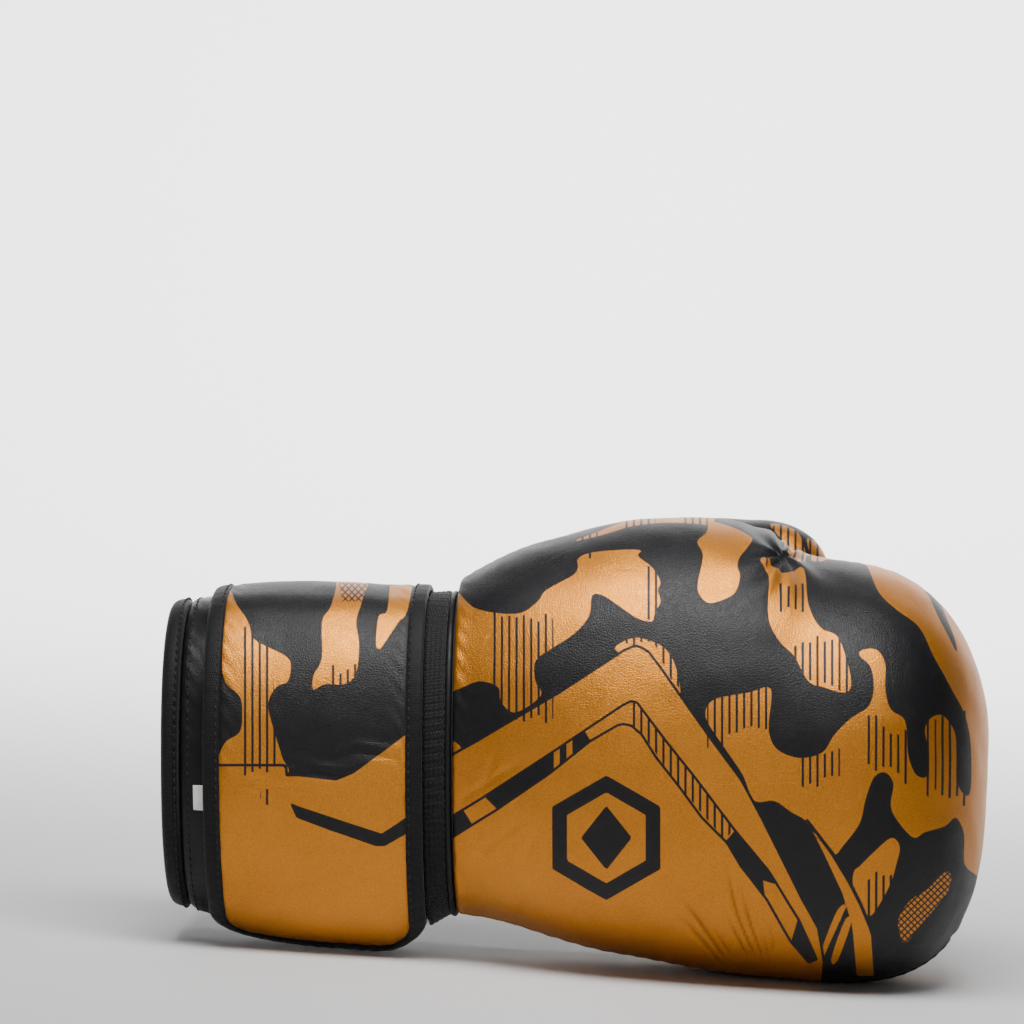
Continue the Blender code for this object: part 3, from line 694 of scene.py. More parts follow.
def printed_leather():
    f = Finish("printed_leather", Specular_IOR_Level=0.25)
    field = f.stored("field").outputs["Fac"]
    stripe = f.stored("stripe").outputs["Fac"]
    outline = f.math("SUBTRACT", f.math("MULTIPLY", field, -1.0), 1.0)
    gold = f.math("MAXIMUM", field, f.math("MINIMUM", f.stored("gold").outputs["Fac"], outline))
    gold = f.math("MINIMUM", gold, f.math("MULTIPLY", stripe, -1.0))
    piece = f.math("MINIMUM", f.stored("piece").outputs["Fac"], f.math("SUBTRACT", stripe, 0.95))
    gold = f.math("MAXIMUM", gold, piece)
    hatch = f.stored("hatch").outputs["Fac"]
    net = f.stored("net").outputs["Fac"]
    at = f.tree.nodes.new("ShaderNodeSeparateXYZ")
    f.set(at.inputs[0], f.stored("print_at").outputs["Vector"])
    across = f.math("ADD", f.math("DIVIDE", at.outputs[0], HATCH_PITCH), 0.42)
    number = f.math("FLOOR", across)
    part = f.math("SUBTRACT", f.math("FRACT", across), 0.5)
    chance = f.tree.nodes.new("ShaderNodeTexWhiteNoise")
    chance.noise_dimensions = "1D"
    f.set(chance.inputs["W"], number)
    ragged = f.math("ADD", hatch, f.spread(chance.outputs["Value"], 0, 1, -2.5, 1.5))
    line = f.math("MULTIPLY", f.math("SUBTRACT", 0.17, f.math("ABSOLUTE", part)), 10.0)
    line = f.math("ADD", line, 0.5, clamp=True)
    line = f.math("MULTIPLY", line, f.math("ADD", f.math("MULTIPLY", ragged, 3.0), 0.5, clamp=True))
    knots = []
    for sign in (1.0, -1.0):
        slanted = f.math("ADD", at.outputs[0], f.math("MULTIPLY", at.outputs[1], sign))
        slanted = f.math("SUBTRACT", f.math("FRACT", f.math("DIVIDE", slanted, NET_PITCH)), 0.5)
        knot = f.math("MULTIPLY", f.math("SUBTRACT", 0.16, f.math("ABSOLUTE", slanted)), 10.0)
        knots.append(f.math("ADD", knot, 0.5, clamp=True))
    netting = f.math("MULTIPLY", f.math("MAXIMUM", *knots), f.math("ADD", net, 0.5, clamp=True))
    mask = f.math("ADD", f.math("MULTIPLY", gold, 4.0), 0.5, clamp=True)
    mask = f.math("MULTIPLY", mask, f.math("SUBTRACT", 1.0, f.math("MAXIMUM", line, netting)))
    worn = f.spread(f.noise(210.0, 5.0, 0.7), 0.70, 0.76)
    mask = f.math("MULTIPLY", mask, f.math("SUBTRACT", 1.0, f.math("MULTIPLY", worn, 0.6)))
    tone = f.spread(f.noise(18.0, 4.0), 0.3, 0.7)
    flakes = f.spread(f.noise(1900.0, 2.0), 0.35, 0.65)
    paint = f.mix(f.math("MULTIPLY", tone, 0.8), (0.53, 0.190, 0.018, 1), (0.43, 0.145, 0.012, 1))
    paint = f.mix(f.math("MULTIPLY", flakes, 0.3), paint, (0.74, 0.33, 0.055, 1))
    # Painted shade: the gold turns dark brown along the creases of the fist, standing in for the shade in
    # their grooves.
    crease_shade = f.math("MULTIPLY", f.math("POWER", f.stored("crease").outputs["Fac"], 2.0), 0.6)
    paint = f.mix(crease_shade, paint, (0.10, 0.028, 0.004, 1))
    hide = f.mix(f.math("MULTIPLY", f.noise(45.0), 0.6), BLACK_LEATHER, (0.0085, 0.0078, 0.0092, 1))
    f.link("Base Color", f.mix(mask, hide, paint))
    f.link("Metallic", f.math("MULTIPLY", mask, 0.8))
    gloss = f.math("ADD", 0.36, f.math("MULTIPLY", f.noise(130.0, 4.0), 0.16))
    f.link("Roughness", f.math("ADD", gloss, f.math("MULTIPLY", mask, -0.02)))
    f.link("Normal", f.leather_bump())
    return f.material


def black_leather(name="black_leather", gloss=0.36, grain=0.00006):
    f = Finish(name, Specular_IOR_Level=0.22)
    tone = f.spread(f.noise(50.0, 4.0), 0.3, 0.7)
    f.link("Base Color", f.mix(tone, BLACK_LEATHER, (0.009, 0.0085, 0.0095, 1)))
    f.link("Roughness", f.math("ADD", gloss, f.math("MULTIPLY", f.noise(140.0, 4.0), 0.2)))
    f.link("Normal", f.leather_bump(grain))
    return f.material


def piping_leather():
    f = Finish("piping_leather", Specular_IOR_Level=0.2)
    f.link("Base Color", f.mix(f.noise(90.0), (0.004, 0.004, 0.0045, 1), (0.009, 0.009, 0.010, 1)))
    f.link("Roughness", f.spread(f.noise(300.0), 0.3, 0.7, 0.42, 0.55))
    f.link("Normal", f.bump(f.noise(500.0, 3.0), 0.00008))
    return f.material


def woven(name, dark, light, scale, roughness, bump=0.0001, sheen=0.3):
    """Fabric of crossing threads."""
    f = Finish(name, Sheen_Weight=sheen, Sheen_Roughness=0.5, Specular_IOR_Level=0.12)
    one = f.tree.nodes.new("ShaderNodeTexWave")
    two = f.tree.nodes.new("ShaderNodeTexWave")
    for wave, turn in ((one, (0.6, 0.4, 0.2)), (two, (-0.6, 0.9, 1.6))):
        f.set(wave.inputs["Vector"], f.stretched(1, 1, 1, turn))
        wave.inputs["Scale"].default_value = scale
        wave.inputs["Distortion"].default_value = 0.6
    threads = f.math("MULTIPLY", one.outputs["Fac"], two.outputs["Fac"])
    fuzz = f.noise(scale * 4, 3.0)
    tone = f.math("MULTIPLY", f.math("ADD", threads, fuzz), 0.55, clamp=True)
    f.link("Base Color", f.mix(tone, dark, light))
    f.link("Roughness", f.spread(fuzz, 0.3, 0.7, roughness - 0.07, roughness + 0.05))
    f.link("Normal", f.bump(f.math("ADD", threads, f.math("MULTIPLY", fuzz, 0.5)), bump))
    return f.material


def foam_finish():
    f = Finish("foam", Roughness=0.95)
    f.link("Base Color", f.mix(f.noise(300.0), (0.014, 0.014, 0.015, 1), (0.032, 0.032, 0.033, 1)))
    f.link("Normal", f.bump(f.cells(900.0), 0.0002))
    return f.material


def thread_finish():
    f = Finish("stitch_thread", Specular_IOR_Level=0.2)
    f.link("Base Color", f.mix(f.noise(1200.0), (0.006, 0.006, 0.0065, 1), (0.014, 0.0135, 0.014, 1)))
    f.link("Roughness", f.spread(f.noise(900.0), 0.3, 0.7, 0.42, 0.6))
    f.link("Normal", f.bump(f.noise(2500.0), 0.00006))
    return f.material


PRINTED = printed_leather()
BLACK = black_leather()
SMOOTH_BLACK = black_leather("smooth_black_leather", 0.30, 0.00003)
PIPING = piping_leather()
TAPE = woven("binding_tape", (0.0035, 0.0034, 0.0038, 1), (0.0095, 0.009, 0.010, 1), 420.0, 0.55,
             0.00008, 0.08)
RIBBED = woven("ribbed_band", (0.003, 0.003, 0.0032, 1), (0.012, 0.012, 0.013, 1), 330.0, 0.6, 0.0002, 0.1)
LINING_CLOTH = woven("lining_cloth", (0.010, 0.010, 0.011, 1), (0.035, 0.035, 0.038, 1), 380.0, 0.85)
LOOP = woven("loop_pile", (0.006, 0.006, 0.0065, 1), (0.024, 0.024, 0.026, 1), 260.0, 0.95, 0.0004, 0.15)
HOOK = woven("hook_tape", (0.015, 0.015, 0.016, 1), (0.05, 0.05, 0.052, 1), 900.0, 0.5, 0.0001, 0.0)
BACKING = black_leather("strap_backing_leather", 0.5, 0.00004)
LABEL = woven("label_cloth", (0.62, 0.62, 0.60, 1), (0.86, 0.86, 0.84, 1), 900.0, 0.7, 0.00005)
THREAD = thread_finish()
FOAM = foam_finish()


# ---- Leather pieces ----

def fan_of_creases(points):
    """How deep each point is, from 0 to 1, in the creases that spread up from the low edge of the fist."""
    from_centre = points - np.array(FAN_CENTRE)
    reach = np.linalg.norm(from_centre, axis=1)
    turn = np.degrees(np.arctan2(from_centre[:, 1], from_centre[:, 0]))
    phase = turn / 5.6 + 0.35 * np.sin(reach / 9.0 + turn / 15.0)
    number = np.floor(phase)
    groove = np.exp(-((phase - number - 0.5) / 0.24) ** 2)
    low = 17 + 5 * np.sin(12.9 * number)
    high = 46 + 13 * np.sin(7.7 * number)
    sector = ease((turn - 84) / 10) * ease((152 - turn) / 20)
    return groove * sector * ease((reach - low) / 6) * ease((high - reach) / 18)


def creases(places):
    """Height in mm of the wrinkles pressed into the hand's leather by use."""
    points = on_print(places)
    height = 0.35 * ripple(places, 11.0, 1.0) + 0.16 * ripple(places, 4.5, 2.0)
    height = height - 0.6 * fan_of_creases(points)
    pinch = points - np.array(PINCH)
    reach = np.linalg.norm(pinch, axis=1)
    turn = np.arctan2(pinch[:, 1], pinch[:, 0])
    height = height + 0.75 * np.exp(-(reach / 15) ** 2) * np.sin(9 * turn + 0.12 * reach)
    height = height - 1.2 * np.exp(-(reach / 4.0) ** 2)
    for n in range(12):
        middle = np.array([6 + 7 * (n % 4) + 2 * np.sin(n), 12 + 24 * (n // 4) + 5 * np.cos(2 * n)])
        angle = np.radians(60 + 18 * np.sin(3 * n))
        along = (points - middle) @ np.array([np.cos(angle), np.sin(angle)])
        aside = (points - middle) @ np.array([-np.sin(angle), np.cos(angle)]) + 0.8 * np.sin(along / 3.5)
        height = height - 0.4 * np.exp(-(aside / 0.85) ** 2 - (along / 8.5) ** 2)
    return height


def soft(places):
    return 0.3 * ripple(places, 9.0, 4.0) + 0.14 * ripple(places, 3.8, 6.0)


def strap_wrinkles(places):
    points = on_print(places)
    height = 0.22 * ripple(places, 8.0, 7.0) + 0.1 * ripple(places, 3.5, 9.0)
    for n in range(5):
        level = 57 + 3.6 * n + 2.4 * np.sin((points[:, 0] + 14 * n) / 7.0)
        share = np.exp(-((points[:, 0] + 62 - 11 * n) / 13) ** 2)
        above = points[:, 1] - level
        height = height + 0.5 * share * np.sin(above / 1.1) * np.exp(-(above / 2.6) ** 2)
    fold = points[:, 1] - 16 - 0.42 * (points[:, 0] + 66)
    height = height - 0.6 * np.exp(-(fold / 1.1) ** 2) * np.exp(-((points[:, 0] + 51) / 16) ** 2)
    return height


def leather(name, points, faces, material, slot, replaces, body="glove", design=None, wrinkles=soft,
            roll=2.2, sink=1.1, thick=1.25, padding=()):
    """A panel of leather: rounded and puckered at its sewn edges, wrinkled inside them."""
    thing = add_mesh(name, points, faces, material, slot)
    mesh = thing.data
    places = places_of(mesh)
    normals = normals_of(mesh)
    edge = edge_distances(mesh, places, 12.0)
    if design is not None:
        add_print(thing, design, places, normals)
    near = np.clip(1 - edge / roll, 0, 1)
    if padding:
        places = places + normals * over_foam(places, normals, padding, thick + 0.1)[:, None]
    height = -sink * (1 - np.sqrt(1 - near ** 2)) + wrinkles(places) * ease(edge / 5)
    pucker = np.sin(places @ np.array([1.15, 0.5, 0.8])) * np.exp(-((edge - 3.0) / 2.4) ** 2)
    places = places + normals * (height + 0.14 * pucker)[:, None]
    places[:, 2] = np.maximum(places[:, 2], 0.0)
    move_points(mesh, places)
    mesh.update()
    thicken(thing, thick)
    if body is not None:
        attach(thing, body)
    if replaces:
        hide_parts(*replaces)
    return thing


HAND_FOAMS = (
    "back_foam", "knuckle_foam", "index_side_foam", "little_side_foam", "palm_foam", "finger_roll_foam",
)


def foam_trees(names):
    """The padding under the leather, as trees of its faces in mm."""
    trees = []
    for name in names:
        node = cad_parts[name]
        corners = [node.matrix_world @ vertex.co / MM for vertex in node.data.vertices]
        faces = [list(face.vertices) for face in node.data.polygons]
        trees.append(bvhtree.BVHTree.FromPolygons(corners, faces))
    return trees


def over_foam(places, normals, names, clear):
    """How far each point has to rise for the leather to lie over the padding, in mm."""
    reach = 5.0
    rise = np.zeros(len(places))
    for tree in foam_trees(names):
        for n, (place, normal) in enumerate(zip(places, normals)):
            start = Vector(place + normal * reach)
            hit, face_normal, _, distance = tree.ray_cast(start, Vector(-normal), 2 * reach)
            if hit is not None and face_normal.dot(Vector(normal)) > 0.2:
                rise[n] = max(rise[n], reach - distance + clear)
    return rise


def thicken(thing, thick):
    shell = thing.modifiers.new("thickness", "SOLIDIFY")
    shell.thickness = thick * MM
    shell.offset = -1


def panel(surface, us, vs):
    u, v = np.meshgrid(us, vs, indexing="ij")
    return stack(surface, u, v)


def sewn_panel(name, surface, span_u, span_v, middle_u, hole=None, **looks):
    """A panel between two stations and two angles, with a window left open in it if there is one."""
    us = even(surface, *span_u, STEP, sum(span_v) / 2)
    vs = even_angles(surface, middle_u, *span_v, STEP)
    keep = None
    if hole is not None:
        u = (us[:-1] + us[1:])[:, None] / 2
        v = (vs[:-1] + vs[1:])[None, :] / 2
        keep = ~((u > hole[0][0]) & (u < hole[0][1]) & (v > hole[1][0]) & (v < hole[1][1]))
    faces = grid_faces(len(us), len(vs), keep=keep)
    points, faces = used_only(panel(surface, us, vs).reshape(-1, 3), faces)
    return leather(name + "_skin", points, faces, replaces=[name], **looks)


def used_only(points, faces):
    used = np.unique(faces)
    new = np.zeros(len(points), int)
    new[used] = np.arange(len(used))
    return points[used], new[faces]


def capped_panel(name, surface, start_u, split_u, sector, middle_u, **looks):
    """A panel over a sector of angles that widens, past a station, into the whole rounded end."""
    middle = sum(sector) / 2
    near = even(surface, start_u, split_u, STEP, middle)
    far = even(surface, split_u, 0.9995, STEP, middle)
    us = np.concatenate([near, far[1:]])
    vs = even_angles(surface, middle_u, sector[0], sector[0] + 360, STEP, loop=True)
    whole = np.arange(len(us) - 1)[:, None] >= len(near) - 1
    keep = whole | (vs[None, :] < sector[1] - 180.0 / len(vs))
    faces = grid_faces(len(us), len(vs), loop=True, keep=keep)
    points, faces = used_only(panel(surface, us, vs).reshape(-1, 3), faces)
    rim = len(points) - len(vs) + np.arange(len(vs))
    tip = np.stack([rim, np.roll(rim, -1), np.full(len(vs), len(points)), np.full(len(vs), len(points))], 1)
    points = np.concatenate([points, stack(surface, 1.0, middle)[None]])
    faces = faces.tolist() + tip[:, :3].tolist()
    return leather(name + "_skin", points, faces, replaces=[name], **looks)


def bridge_panel(name, stations, sides, sag):
    """Leather that spans from the hand's edge to the thumb."""
    stations = np.array(stations, float)
    run = np.linspace(0, 1, int(110 / STEP) if sag else 24)
    marks = np.linspace(0, 1, len(stations))
    hand_u = np.interp(run, marks, stations[:, 0])
    thumb_u = np.interp(run, marks, stations[:, 1])
    edge = stack(hand_outside, hand_u, sides[0])
    a = edge + np.array([0, 3.0, 0.6])
    b = stack(thumb_outside, thumb_u, sides[1])
    along = b - edge
    along = along / np.linalg.norm(along, axis=1, keepdims=True)
    b = b - along * 1.6 + np.array([0, 0, 1.6])
    t = np.linspace(0, 1, 14)[None, :, None]
    points = a[:, None] + (b - a)[:, None] * t - np.array([0, 0, sag * 4]) * t * (1 - t)
    faces = grid_faces(len(run), 14, flip=True)
    return leather(name + "_skin", points, faces, BLACK, "black", [name], roll=1.2, sink=0.5)


def build_hand():
    printed = {"material": PRINTED, "slot": "print", "design": back_of_hand, "padding": HAND_FOAMS}
    capped_panel("back_leather", hand_outside, 0.0, BACK_SPLIT_U, BACK_SECTOR, 0.5, wrinkles=creases,
                 **printed)
    sewn_panel("little_side_leather", hand_outside, (0.0, FIST_SEAM_U), SIDE_SECTOR, 0.5, wrinkles=creases,
               **printed)
    roll = sewn_panel("finger_roll_leather", hand_outside, (ROLL_START_U, FIST_SEAM_U), PALM_SECTOR, 0.5,
                      **printed)
    sewn_panel("palm_leather", hand_outside, (0.0, PALM_END_U), PALM_SECTOR, 0.3, material=BLACK,
               slot="black", hole=(WINDOW_U, WINDOW_V), padding=HAND_FOAMS)
    return roll


def build_thumb():
    outer = capped_panel("thumb_outer_leather", thumb_outside, 0.03, 0.88, (-96.0, 96.0), 0.5,
                         material=PRINTED, slot="print", design=back_of_hand, padding=("thumb_foam",))
    inner = sewn_panel("thumb_inner_leather", thumb_outside, (0.03, 0.876), (97.0, 263.0), 0.5,
                       material=BLACK, slot="black", hole=THUMB_WINDOW, padding=("thumb_foam",))
    web = ((0.07, 0.1), (0.14, 0.2), (0.21, 0.3), (0.28, 0.35),
           (0.35, 0.4), (0.42, 0.5), (0.49, 0.6), (0.55, 0.7))
    bridge_panel("thumb_web", web, (350.0, 66.0), 1.5)
    bridge_panel("thumb_lock", ((0.6, 0.84), (0.64, 0.89), (0.67, 0.93)), (352.0, 56.0), 0.0)
    return outer, inner


# ---- Cuff ----

HEM_IN = HEM_X + HEM_WIDTH + 0.3
BAND_IN = WRIST_X - 7.6
SLIT_SPAN = (SLIT[1] - 360.0, SLIT[0])


def cuff_grid(xs, vs, height):
    x, v = np.meshgrid(xs, vs, indexing="ij")
    return off_cuff(x, v, np.broadcast_to(height, x.shape))


def oval(half_a, half_b, count, power=3.0):
    """A rounded rectangle as offsets from its middle."""
    t = np.arange(count) / count * 2 * np.pi
    c = np.cos(t)
    s = np.sin(t)
    reach = (np.abs(c) ** power + np.abs(s) ** power) ** (-1 / power)
    return half_a * c * reach, half_b * s * reach


def tube_mesh(name, rings, material, slot, closed=False):
    """A solid swept through rings of points, with its ends filled unless it closes on itself."""
    count, sides = rings.shape[:2]
    i = np.arange(count if closed else count - 1)[:, None]
    j = np.arange(sides)[None, :]
    after = (i + 1) % count
    k = (j + 1) % sides
    corners = [i * sides + j, i * sides + k, after * sides + k, after * sides + j]
    faces = np.stack(np.broadcast_arrays(*corners), -1).reshape(-1, 4).tolist()
    if not closed:
        faces.append(list(range(sides))[::-1])
        faces.append([(count - 1) * sides + n for n in range(sides)])
    points = rings.reshape(-1, 3)
    quads = np.array([face for face in faces if len(face) == 4])
    corner = points[quads]
    volume = np.einsum("ij,ij->i", corner[:, 0], np.cross(corner[:, 1], corner[:, 2])).sum()
    volume += np.einsum("ij,ij->i", corner[:, 0], np.cross(corner[:, 2], corner[:, 3])).sum()
    if volume < 0:
        faces = [face[::-1] for face in faces]
    return add_mesh(name, points, faces, material, slot)


def build_cuff():
    xs = np.arange(HEM_IN, BAND_IN, STEP * 1.2)
    vs = even_angles(cuff_outside, CUFF_MIDDLE_X, *SLIT_SPAN, STEP * 1.2)
    skin = leather("cuff_leather_skin", cuff_grid(xs, vs, 0.0), grid_faces(len(xs), len(vs)),
                   SMOOTH_BLACK, "black", ["cuff_leather"])

    across, up = oval(HEM_WIDTH / 2, (CUFF_WALL + 0.5) / 2, 28)
    vs = np.linspace(SLIT_SPAN[0] + 0.3, SLIT_SPAN[1] - 0.3, 420)
    x = HEM_X + HEM_WIDTH / 2 + across[None, :] + 0.05 * np.sin(vs * 3.1)[:, None]
    height = (0.9 - CUFF_WALL) / 2 + up[None, :] + 0.07 * np.sin(vs * 4.7)[:, None]
    v = np.broadcast_to(vs[:, None], x.shape)
    hem = tube_mesh("hem_tape", off_cuff(x, v, height), TAPE, "tape")
    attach(hem, "glove")
    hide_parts("hem_binding")

    xs = np.arange(BAND_IN + 0.3, WRIST_X - 0.4, 0.3)
    vs = even_angles(cuff_outside, -47.0, 0, 360, 0.8, loop=True)
    ribs = 0.3 + 0.28 * np.abs(np.sin((xs - xs[0]) * 1.9))[:, None] + 0.14 * np.sin(vs * 4.5)[None, :]
    band = add_mesh("wrist_band_ribbed", cuff_grid(xs, vs, ribs), grid_faces(len(xs), len(vs), loop=True),
                    RIBBED, "tape")
    thicken(band, 1.5)
    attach(band, "glove")
    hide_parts("wrist_band")

    vs = np.linspace(0, 360, 300, endpoint=False)
    t = np.arange(14) / 14 * 2 * np.pi
    x = WRIST_X + 1.3 + 1.15 * np.sin(t)[None, :] + 0 * vs[:, None]
    height = -0.4 + 1.15 * np.cos(t)[None, :] + 0 * vs[:, None]
    rings = off_cuff(x, np.broadcast_to(vs[:, None], x.shape), height)
    piping = tube_mesh("wrist_piping_cord", rings, PIPING, "black", closed=True)
    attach(piping, "glove")
    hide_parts("wrist_piping")

    xs = np.arange(HEM_IN, SLIT_END_X, 0.5)
    vs = np.linspace(SLIT[0] + 0.6, SLIT[1] - 0.6, 16)
    ribs = -2.0 + 0.22 * np.sin(xs * 2.9)[:, None] + 0 * vs[None, :]
    gusset = add_mesh("gusset_ribbed", cuff_grid(xs, vs, ribs), grid_faces(len(xs), len(vs)),
                      RIBBED, "elastic")
    thicken(gusset, 1.1)
    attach(gusset, "glove")
    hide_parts("elastic_gusset")

    xs = np.linspace(*TAG_X, 9)
    vs = np.linspace(*TAG_V, 25)
    tag = add_mesh("size_tag_woven", cuff_grid(xs, vs, 0.75 + 0.05 * np.sin(vs)[None, :] + 0 * xs[:, None]),
                   grid_faces(len(xs), len(vs)), LABEL, "label")
    thicken(tag, 0.4)
    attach(tag, "glove")
    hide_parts("size_tag")
    return skin


def lining(name, surface, us, vs, loop, keep=None):
    faces = grid_faces(len(us), len(vs), loop=loop, keep=keep, flip=True)
    points, faces = used_only(panel(surface, us, vs).reshape(-1, 3), faces)
    made = add_mesh(name + "_cloth", points, faces, LINING_CLOTH, "lining")
    places = places_of(made.data)
    places = places - normals_of(made.data) * (0.25 + 0.2 * ripple(places, 6.0, 2.0))[:, None]
    move_points(made.data, places)
    thicken(made, 0.8)
    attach(made, "glove")
    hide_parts(name)


def build_linings():
    lining("cuff_lining", cuff_inside, np.arange(HEM_IN, WRIST_X, 2.5),
           even_angles(cuff_inside, CUFF_MIDDLE_X, *SLIT_SPAN, 2.5), False)
    us = even(hand_inside, 0, 0.9995, 2.5, 90)
    vs = even_angles(hand_inside, 0.4, 0, 360, 2.5, loop=True)
    hole = (us[:-1, None] > WINDOW_U[0]) & (us[:-1, None] < WINDOW_U[1])
    hole = hole & (vs[None, :] > WINDOW_V[0]) & (vs[None, :] < WINDOW_V[1])
    lining("hand_lining", hand_inside, us, vs, True, ~hole)
    us = even(thumb_inside, 0.0005, 0.9995, 2.0, 0)
    vs = even_angles(thumb_inside, 0.5, 0, 360, 2.0, loop=True)
    hole = (us[:-1, None] > THUMB_WINDOW[0][0]) & (us[:-1, None] < THUMB_WINDOW[0][1])
    hole = hole & (vs[None, :] > THUMB_WINDOW[1][0]) & (vs[None, :] < THUMB_WINDOW[1][1])
    lining("thumb_lining", thumb_inside, us, vs, True, ~hole)


# ---- Strap ----

STRAP_TOP = FOLD_RISE + STRAP_THICK
ANCHOR_ARC = arc_at(ANCHOR)
END_ARC = arc_at(FLAP_END)


def bend_at_fold(thing):
    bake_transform(thing)


def bend_at_anchor(thing):
    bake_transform(thing)


def strap_sheet(low, high, inset, height, rounded_end, step):
    """Points over the strap's width, with its corners rounded at the free end."""
    radius = max(CORNER - inset, 3.0)
    if rounded_end:
        arcs = np.append(np.arange(low, high - inset, step), high - inset)
        bend = np.clip(arcs - (high - inset) + radius, 0, radius)
        cut = radius - np.sqrt(np.maximum(radius ** 2 - bend ** 2, 0))
    else:
        arcs = np.append(np.arange(low, high - step / 2, step), high)
        cut = np.zeros(len(arcs))
    width = STRAP_X[1] - STRAP_X[0] - 2 * inset
    t = np.linspace(0, 1, int(width / step))[:, None]
    x = STRAP_X[0] + inset + cut[None, :] + (width - 2 * cut[None, :]) * t
    arc = np.broadcast_to(arcs[None, :], x.shape)
    return on_strap(x, arc, height), grid_faces(*x.shape)


def flap_edge(inset, low):
    """Outline of the flap, at an inset, as (x, arc): down one side, round the free end and up the other."""
    left = STRAP_X[0] + inset
    right = STRAP_X[1] - inset
    end = END_ARC - inset
    radius = CORNER - inset
    side = np.linspace(low, END_ARC - CORNER, int((END_ARC - CORNER - low) / 1.4))
    turns = np.linspace(0, np.pi / 2, 16)
    flat = np.linspace(left + radius, right - radius, 34)[1:-1]
    points = [(left, arc) for arc in side[:-1]]
    points += [(left + radius - radius * np.cos(t), end - radius + radius * np.sin(t)) for t in turns]
    points += [(x, end) for x in flat]
    points += [(right - radius + radius * np.sin(t), end - radius + radius * np.cos(t)) for t in turns]
    points += [(right, arc) for arc in side[::-1][1:]]
    return np.array(points)


def side_edge(inset, low, high, right):
    x = STRAP_X[1] - inset if right else STRAP_X[0] + inset
    arcs = np.arange(low, high + 0.1, 1.4)
    arcs[-1] = high
    return np.stack([np.full(len(arcs), x), arcs], -1)


def binding(name, edge):
    """Folded tape sewn over an edge of the strap; edge gives the outline at an inset."""
    across, up = oval(BINDING / 2, 1.4, 20)
    rings = []
    for a, h in zip(across, up):
        line = edge(BINDING / 2 + a)
        wave = 0.06 * np.sin(np.arange(len(line)) * 1.7)
        rings.append(on_strap(line[:, 0], line[:, 1], 2.1 + h + wave))
    return tube_mesh(name, np.stack(rings, 1), TAPE, "tape")


def strap_back(name, low, high, rounded_end):
    """Plain backing glued under the strap's printed leather."""
    sheet = strap_sheet(low, high, BINDING - 1.4, FOLD_RISE + 0.62, rounded_end, 1.6)
    made = add_mesh(name, *sheet, BACKING, "black")
    places = places_of(made.data)
    places = places + normals_of(made.data) * (0.08 * ripple(places, 7.0, 12.0))[:, None]
    move_points(made.data, places)
    thicken(made, 0.5)
    return made


def build_strap():
    inset = BINDING - 1.0
    points, faces = strap_sheet(SPLIT_ARC, END_ARC, inset, STRAP_TOP, True, STEP)
    flap = leather("strap_flap_skin", points, faces, PRINTED, "print", ["strap_flap_panel"], body=None,
                   design=back_of_strap, wrinkles=strap_wrinkles, roll=3.0, sink=0.7, thick=1.15)
    bend_at_fold(flap)
    points, faces = strap_sheet(ANCHOR_ARC - 0.4, SPLIT_ARC, inset, STRAP_TOP, False, STEP)
    wrap = leather("strap_wrap_skin", points, faces, PRINTED, "print", ["strap_wrap_panel"], body=None,
                   design=back_of_strap, wrinkles=strap_wrinkles, roll=0.5, sink=0.05, thick=1.15)
    bend_at_anchor(wrap)
    bend_at_fold(strap_back("strap_flap_backing", SPLIT_ARC, END_ARC, True))
    bend_at_anchor(strap_back("strap_wrap_backing", ANCHOR_ARC - 0.4, SPLIT_ARC, False))
    tape = binding("strap_flap_tape", lambda inset: flap_edge(inset, SPLIT_ARC))
    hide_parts("strap_flap_binding")
    bend_at_fold(tape)
    for right, node in ((False, "strap_wrap_hem_binding"), (True, "strap_wrap_wrist_binding")):
        tape = binding(node + "_tape", lambda inset: side_edge(inset, ANCHOR_ARC, SPLIT_ARC, right))
        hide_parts(node)
        bend_at_anchor(tape)
    xs = np.arange(STRAP_X[0], STRAP_X[1], STEP)
    vs = np.linspace(ANCHOR - 9, ANCHOR - 0.7, 12)
    anchor = leather("strap_anchor_skin", cuff_grid(xs, vs, STRAP_TOP), grid_faces(len(xs), len(vs)),
                     BLACK, "black", ["strap_anchor"], roll=1.5, sink=0.6, thick=2.2)
    return anchor


def build_fasteners():
    """The pile on the cuff and the hooks under the flap."""
    xs = np.arange(*LOOP_X, 0.7)
    vs = even_angles(cuff_outside, CUFF_MIDDLE_X, *LOOP_V, 0.7)
    x, v = np.meshgrid(xs, vs, indexing="ij")
    height = 0.95 + 0.2 * np.sin(x * 5.3 + 3 * np.sin(v * 2.1)) * np.sin(v * 4.1 + 2 * np.sin(x * 1.7))
    loop = add_mesh("loop_pile", off_cuff(x, v, height), grid_faces(*x.shape), LOOP, "loop")
    thicken(loop, 0.4)
    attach(loop, "glove")
    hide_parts("loop_patch")

    points, faces = strap_sheet(arc_at(HOOK_START), END_ARC - BINDING, BINDING + 3.0, FOLD_RISE - 0.75,
                                True, 2.0)
    flat = points.reshape(-1, 3)
    out = flat - np.array([0, 0, 68.0])
    out = out * np.array([0, 1, 1])
    out = out / np.linalg.norm(out, axis=1, keepdims=True)
    count = len(flat)
    spikes = [flat]
    shapes = faces[:, ::-1].tolist()
    for dx, dz in ((-0.3, -0.3), (0.3, -0.3), (0.3, 0.3), (-0.3, 0.3)):
        spikes.append(flat + np.array([dx, 0, dz]))
    spikes.append(flat - out * 0.5)
    for k in range(count):
        ring = [count * (n + 1) + k for n in range(4)]
        shapes += [[ring[n], ring[(n + 1) % 4], 5 * count + k] for n in range(4)]
    hooks = add_mesh("hook_tape", np.concatenate(spikes), shapes, HOOK, "hook")
    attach(hooks, "strap_flap")
    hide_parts("hook_patch")


# ---- Stitching ----

